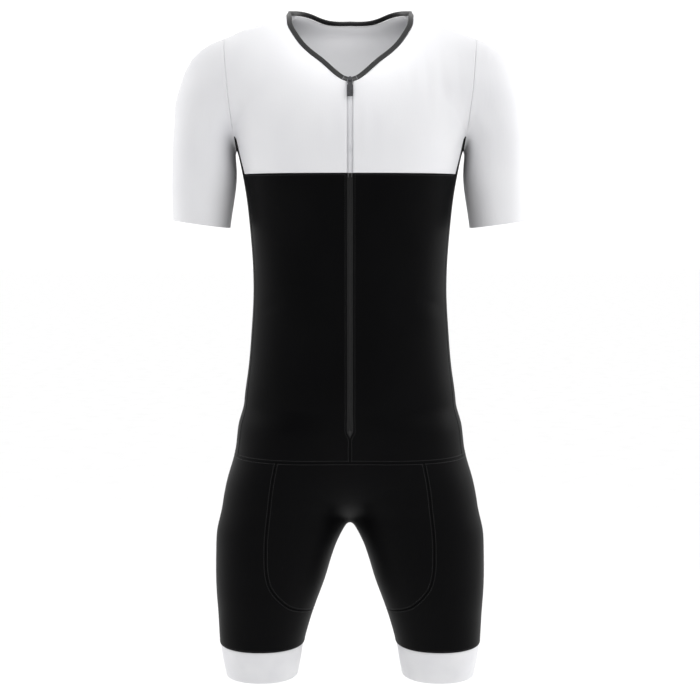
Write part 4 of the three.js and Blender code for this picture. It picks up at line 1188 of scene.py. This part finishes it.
CREASES = (
    # Fine upright creases on the wearer's left upper chest.
    Crease(Face.FRONT, 79, -74, 83, -132, 5.5, -0.40, 1.5),
    Crease(Face.FRONT, 91, -54, 95, -120, 4.8, 0.50, -1.0),
    Crease(Face.FRONT, 102, -44, 107, -142, 4.6, -0.62, 1.0),
    Crease(Face.FRONT, 114, -62, 118, -152, 5.0, 0.52, 1.5),
    Crease(Face.FRONT, 126, -48, 130, -126, 4.4, -0.55, -1.5),
    Crease(Face.FRONT, 137, -68, 142, -164, 5.2, 0.50, 1.0),
    Crease(Face.FRONT, 149, -56, 153, -140, 4.6, -0.55, 1.0),
    # A few softer ones on the other side.
    Crease(Face.FRONT, -98, -62, -103, -128, 8.0, -0.35, -2.0),
    Crease(Face.FRONT, -132, -72, -137, -156, 8.5, 0.35, 1.5),
    Crease(Face.FRONT, -66, -96, -70, -150, 9.0, 0.25, 1.0),
    # Along the zip.
    Crease(Face.FRONT, 12, -118, 11, -214, 4.5, -0.40, 0.5),
    Crease(Face.FRONT, 20, -110, 19, -206, 6.0, 0.45, -0.5),
    Crease(Face.FRONT, 32, -128, 30, -198, 6.0, -0.40, 1.0),
    Crease(Face.FRONT, 46, -140, 43, -210, 8.0, 0.30, 1.0),
    Crease(Face.FRONT, -12, -126, -11, -216, 5.0, 0.40, 0.5),
    Crease(Face.FRONT, -24, -120, -22, -200, 6.5, -0.38, -1.0),
    Crease(Face.FRONT, -38, -134, -36, -208, 8.0, 0.32, 1.0),
    Crease(Face.FRONT, 17, -244, 15, -400, 7.0, 0.35, 1.0),
    Crease(Face.FRONT, -20, -252, -17, -372, 8.0, -0.35, -1.0),
    Crease(Face.FRONT, 14, -438, 15, -566, 7.5, -0.35, 1.0),
    Crease(Face.FRONT, -18, -420, -15, -548, 8.0, 0.35, -1.0),
    # Drag lines from the armpits.
    Crease(Face.FRONT, 157, -150, 118, -188, 6.5, -0.70, 2.0),
    Crease(Face.FRONT, 158, -166, 128, -206, 6.0, 0.50, 2.0),
    Crease(Face.FRONT, -157, -152, -122, -186, 6.5, -0.60, -2.0),
    Crease(Face.FRONT, 186, -128, 205, -176, 7.0, -0.60, 2.0),
    Crease(Face.FRONT, -186, -126, -204, -170, 7.5, -0.55, -2.0),
    Crease(Face.FRONT, 198, -210, 226, -222, 7.0, -0.40, 0.0),
    Crease(Face.FRONT, -196, -236, -228, -244, 7.0, -0.40, 0.0),
    # Waist and hips in front.
    Crease(Face.FRONT, 92, -398, 132, -410, 8.0, -0.55, 0.0),
    Crease(Face.FRONT, 84, -424, 130, -430, 9.0, 0.40, 0.0),
    Crease(Face.FRONT, -90, -404, -131, -418, 8.0, -0.50, 0.0),
    Crease(Face.FRONT, 16, -694, 66, -662, 7.0, -0.55, 0.0),
    Crease(Face.FRONT, -15, -696, -62, -666, 7.0, -0.50, 0.0),
    Crease(Face.FRONT, 26, -716, 84, -708, 8.0, -0.45, 0.0),
    Crease(Face.FRONT, -27, -714, -80, -706, 8.0, 0.40, 0.0),
    Crease(Face.FRONT, 92, -884, 160, -892, 8.0, -0.35, 0.0),
    Crease(Face.FRONT, -94, -880, -158, -890, 8.0, -0.35, 0.0),
    # Shoulder blades, small of the back and seat.
    Crease(Face.BACK, 34, -58, 38, -158, 10.0, -0.55, 2.0),
    Crease(Face.BACK, -30, -66, -36, -148, 11.0, -0.50, -2.0),
    Crease(Face.BACK, 6, -96, 4, -210, 9.0, -0.60, 1.0),
    Crease(Face.BACK, 152, -150, 110, -186, 7.0, -0.70, 2.0),
    Crease(Face.BACK, -153, -148, -114, -180, 7.0, -0.65, -2.0),
    Crease(Face.BACK, 188, -130, 208, -172, 7.5, -0.60, 2.0),
    Crease(Face.BACK, -187, -132, -207, -176, 7.0, -0.60, -2.0),
    Crease(Face.BACK, -98, -392, -22, -402, 9.0, -0.75, 0.0),
    Crease(Face.BACK, -20, -414, 88, -404, 9.5, -0.70, 0.0),
    Crease(Face.BACK, -84, -432, 10, -440, 10.0, 0.55, 0.0),
    Crease(Face.BACK, 24, -450, 104, -444, 9.0, 0.50, 0.0),
    Crease(Face.BACK, 3, -640, 2, -716, 8.0, -0.80, 0.0),
    Crease(Face.BACK, 34, -716, 112, -728, 8.0, -0.80, 0.0),
    Crease(Face.BACK, -36, -718, -114, -726, 8.0, -0.75, 0.0),
    Crease(Face.BACK, 58, -738, 132, -746, 9.0, 0.50, 0.0),
    Crease(Face.BACK, -90, -868, -158, -876, 8.0, -0.50, 0.0),
    Crease(Face.BACK, 92, -862, 156, -870, 8.0, -0.50, 0.0),
)


@dataclass
class Suit:
    """All the cut pieces of the suit with the sizes that they are cut to, in metres."""

    def panels(self) -> list[ClothPanel]:
        """The cloth pieces, each with its flat size, flat area and neighbours."""
        made = []
        for side in ("left", "right"):
            made += [
                ClothPanel(f"front_yoke_{side}", WHITE_KNIT, WHITE_THREAD, "knit_white", (0.178, 0.225), 0.0345,
                           (f"front_body_{side}_cloth", f"sleeve_{side}_cloth")),
                ClothPanel(f"sleeve_{side}", WHITE_KNIT, WHITE_THREAD, "sleeve_white", (0.33, 0.245), 0.058,
                           (f"front_yoke_{side}_cloth", "back_yoke_cloth"), levels=2),
                ClothPanel(f"front_body_{side}", BLACK_KNIT, BLACK_THREAD, "knit_black", (0.185, 0.375), 0.0602,
                           (f"front_yoke_{side}_cloth", f"side_panel_{side}_cloth")),
                ClothPanel(f"side_panel_{side}", BLACK_KNIT, BLACK_THREAD, "knit_black", (0.093, 0.43), 0.0316,
                           (f"sleeve_{side}_cloth", f"front_body_{side}_cloth")),
                ClothPanel(f"leg_{side}", BLACK_KNIT, BLACK_THREAD, "knit_black", (0.42, 0.265), 0.0752,
                           (f"front_body_{side}_cloth", "front_rise_cloth")),
                ClothPanel(f"leg_gripper_{side}", LEG_BAND, WHITE_THREAD, "gripper_white", (0.36, 0.048), 0.01728,
                           (f"leg_{side}_cloth",), levels=2, squeeze=1.2),
            ]
        made += [
            ClothPanel("back_yoke", WHITE_KNIT, WHITE_THREAD, "knit_white", (0.375, 0.23), 0.0774,
                       ("front_yoke_left_cloth", "front_yoke_right_cloth")),
            ClothPanel("back_body", BLACK_KNIT, BLACK_THREAD, "knit_black", (0.335, 0.375), 0.1165,
                       ("back_yoke_cloth",)),
            ClothPanel("front_rise", BLACK_KNIT, BLACK_THREAD, "knit_black", (0.3, 0.225), 0.0518,
                       ("front_body_left_cloth", "front_body_right_cloth"), levels=2),
            ClothPanel("back_rise", BLACK_KNIT, BLACK_THREAD, "knit_black", (0.31, 0.23), 0.0537,
                       ("back_body_cloth",), levels=2),
        ]
        return made


@dataclass
class Studio:
    """The camera at the photograph's angle, soft lamps, a pale floor and a white room."""

    distance: float = 2.15
    height: float = -0.28275
    pitch: float = 5.2022
    lens: float = 76.57
    floor_level: float = -1.45
    floor_size: float = 60.0
    bright_side: tuple[float, float, float] = (0.0, 0.6, 0.8)
    near_room: float = 0.15
    backdrop: float = 1.15
    neck_beam: float = 22.0

    def build(self) -> None:
        """Adds the camera, the lamps, the room's light and the floor."""
        data = bpy.data.cameras.new("camera")
        data.lens = self.lens
        data.sensor_width = 36
        data.clip_end = 100
        camera = bpy.data.objects.new("camera", data)
        camera.location = (0, -self.distance, self.height)
        camera.rotation_euler = (math.radians(90 - self.pitch), 0, 0)
        bpy.context.scene.collection.objects.link(camera)
        bpy.context.scene.camera = camera
        self._lamp("key", (1.9, -1.7, 1.1), (0, 0, -0.35), 1.0, 15.5)
        self._lamp("left_edge", (-1.9, 0.5, 0.2), (0, 0, -0.5), 0.8, 7)
        self._lamp("right_edge", (1.9, 0.6, 0.0), (0, 0, -0.5), 0.8, 9)
        self._lamp("neck_fill", (0.0, -0.8, 0.3), (0, 0.06, -0.03), 0.12, 0.09, self.neck_beam)
        self._room()
        self._floor()
        bpy.context.scene.view_settings.view_transform = "Standard"

    def _lamp(self, name: str, place: Place, target: Place, size: float, watts: float, beam: float = 180.0) -> None:
        """Adds a square soft lamp.

        Args:
            name: The lamp's name.
            place: Where it stands, in metres.
            target: What it faces.
            size: Its side.
            watts: Its power.
            beam: How wide its light spreads, in degrees.
        """
        data = bpy.data.lights.new(name, "AREA")
        data.size = size
        data.energy = watts
        data.spread = math.radians(beam)
        lamp = bpy.data.objects.new(name, data)
        lamp.location = place
        lamp.rotation_euler = (Vector(target) - Vector(place)).to_track_quat("-Z", "Y").to_euler()
        bpy.context.scene.collection.objects.link(lamp)

    def _room(self) -> None:
        """A white backdrop and ceiling, in a room that is dimmer on the near side."""
        world = bpy.data.worlds.new("white_room")
        world.use_nodes = True
        tree = world.node_tree
        tree.nodes.clear()
        way = add_node(tree, "ShaderNodeTexCoord").outputs["Generated"]
        towards = add_node(tree, "ShaderNodeVectorMath", {0: way, 1: self.bright_side}, operation="DOT_PRODUCT")
        sockets = {
            "Value": towards.outputs["Value"],
            "From Min": -0.45,
            "From Max": 0.35,
            "To Min": self.near_room,
            "To Max": self.backdrop,
        }
        strength = add_node(tree, "ShaderNodeMapRange", sockets, interpolation_type="SMOOTHSTEP")
        light = add_node(tree, "ShaderNodeBackground", {"Color": (1, 1, 1, 1), "Strength": strength.outputs[0]})
        add_node(tree, "ShaderNodeOutputWorld", {"Surface": light.outputs[0]})
        bpy.context.scene.world = world

    def _floor(self) -> None:
        """A wide pale floor, far enough below for the worn suit."""
        half = self.floor_size / 2
        mesh = bpy.data.meshes.new("floor")
        corners = [(-half, -half, 0), (half, -half, 0), (half, half, 0), (-half, half, 0)]
        mesh.from_pydata(corners, [], [(0, 1, 2, 3)])
        mesh.materials.append(FLOOR_PAINT.material())
        floor = bpy.data.objects.new("floor", mesh)
        floor.location = (0, 0, self.floor_level)
        bpy.context.scene.collection.objects.link(floor)


def main() -> None:
    """Builds the studio and every piece of the suit in order."""
    logging.basicConfig(level=logging.INFO, format="%(name)s: %(message)s")
    Studio().build()
    form = WornForm()
    creases = CreaseSet(form, CREASES)
    for panel in Suit().panels():
        shell, stitches = panel.build(form, creases)
        LOG.info("%s: %d faces, stitches %d", shell.name, len(shell.data.polygons),
                 len(stitches.data.polygons) if stitches else 0)
    for piece in NeckBinding().build(form) + FrontZip().build(form):
        LOG.info("%s: %d faces", piece.name, len(piece.data.polygons))


if __name__ == "__main__":
    main()
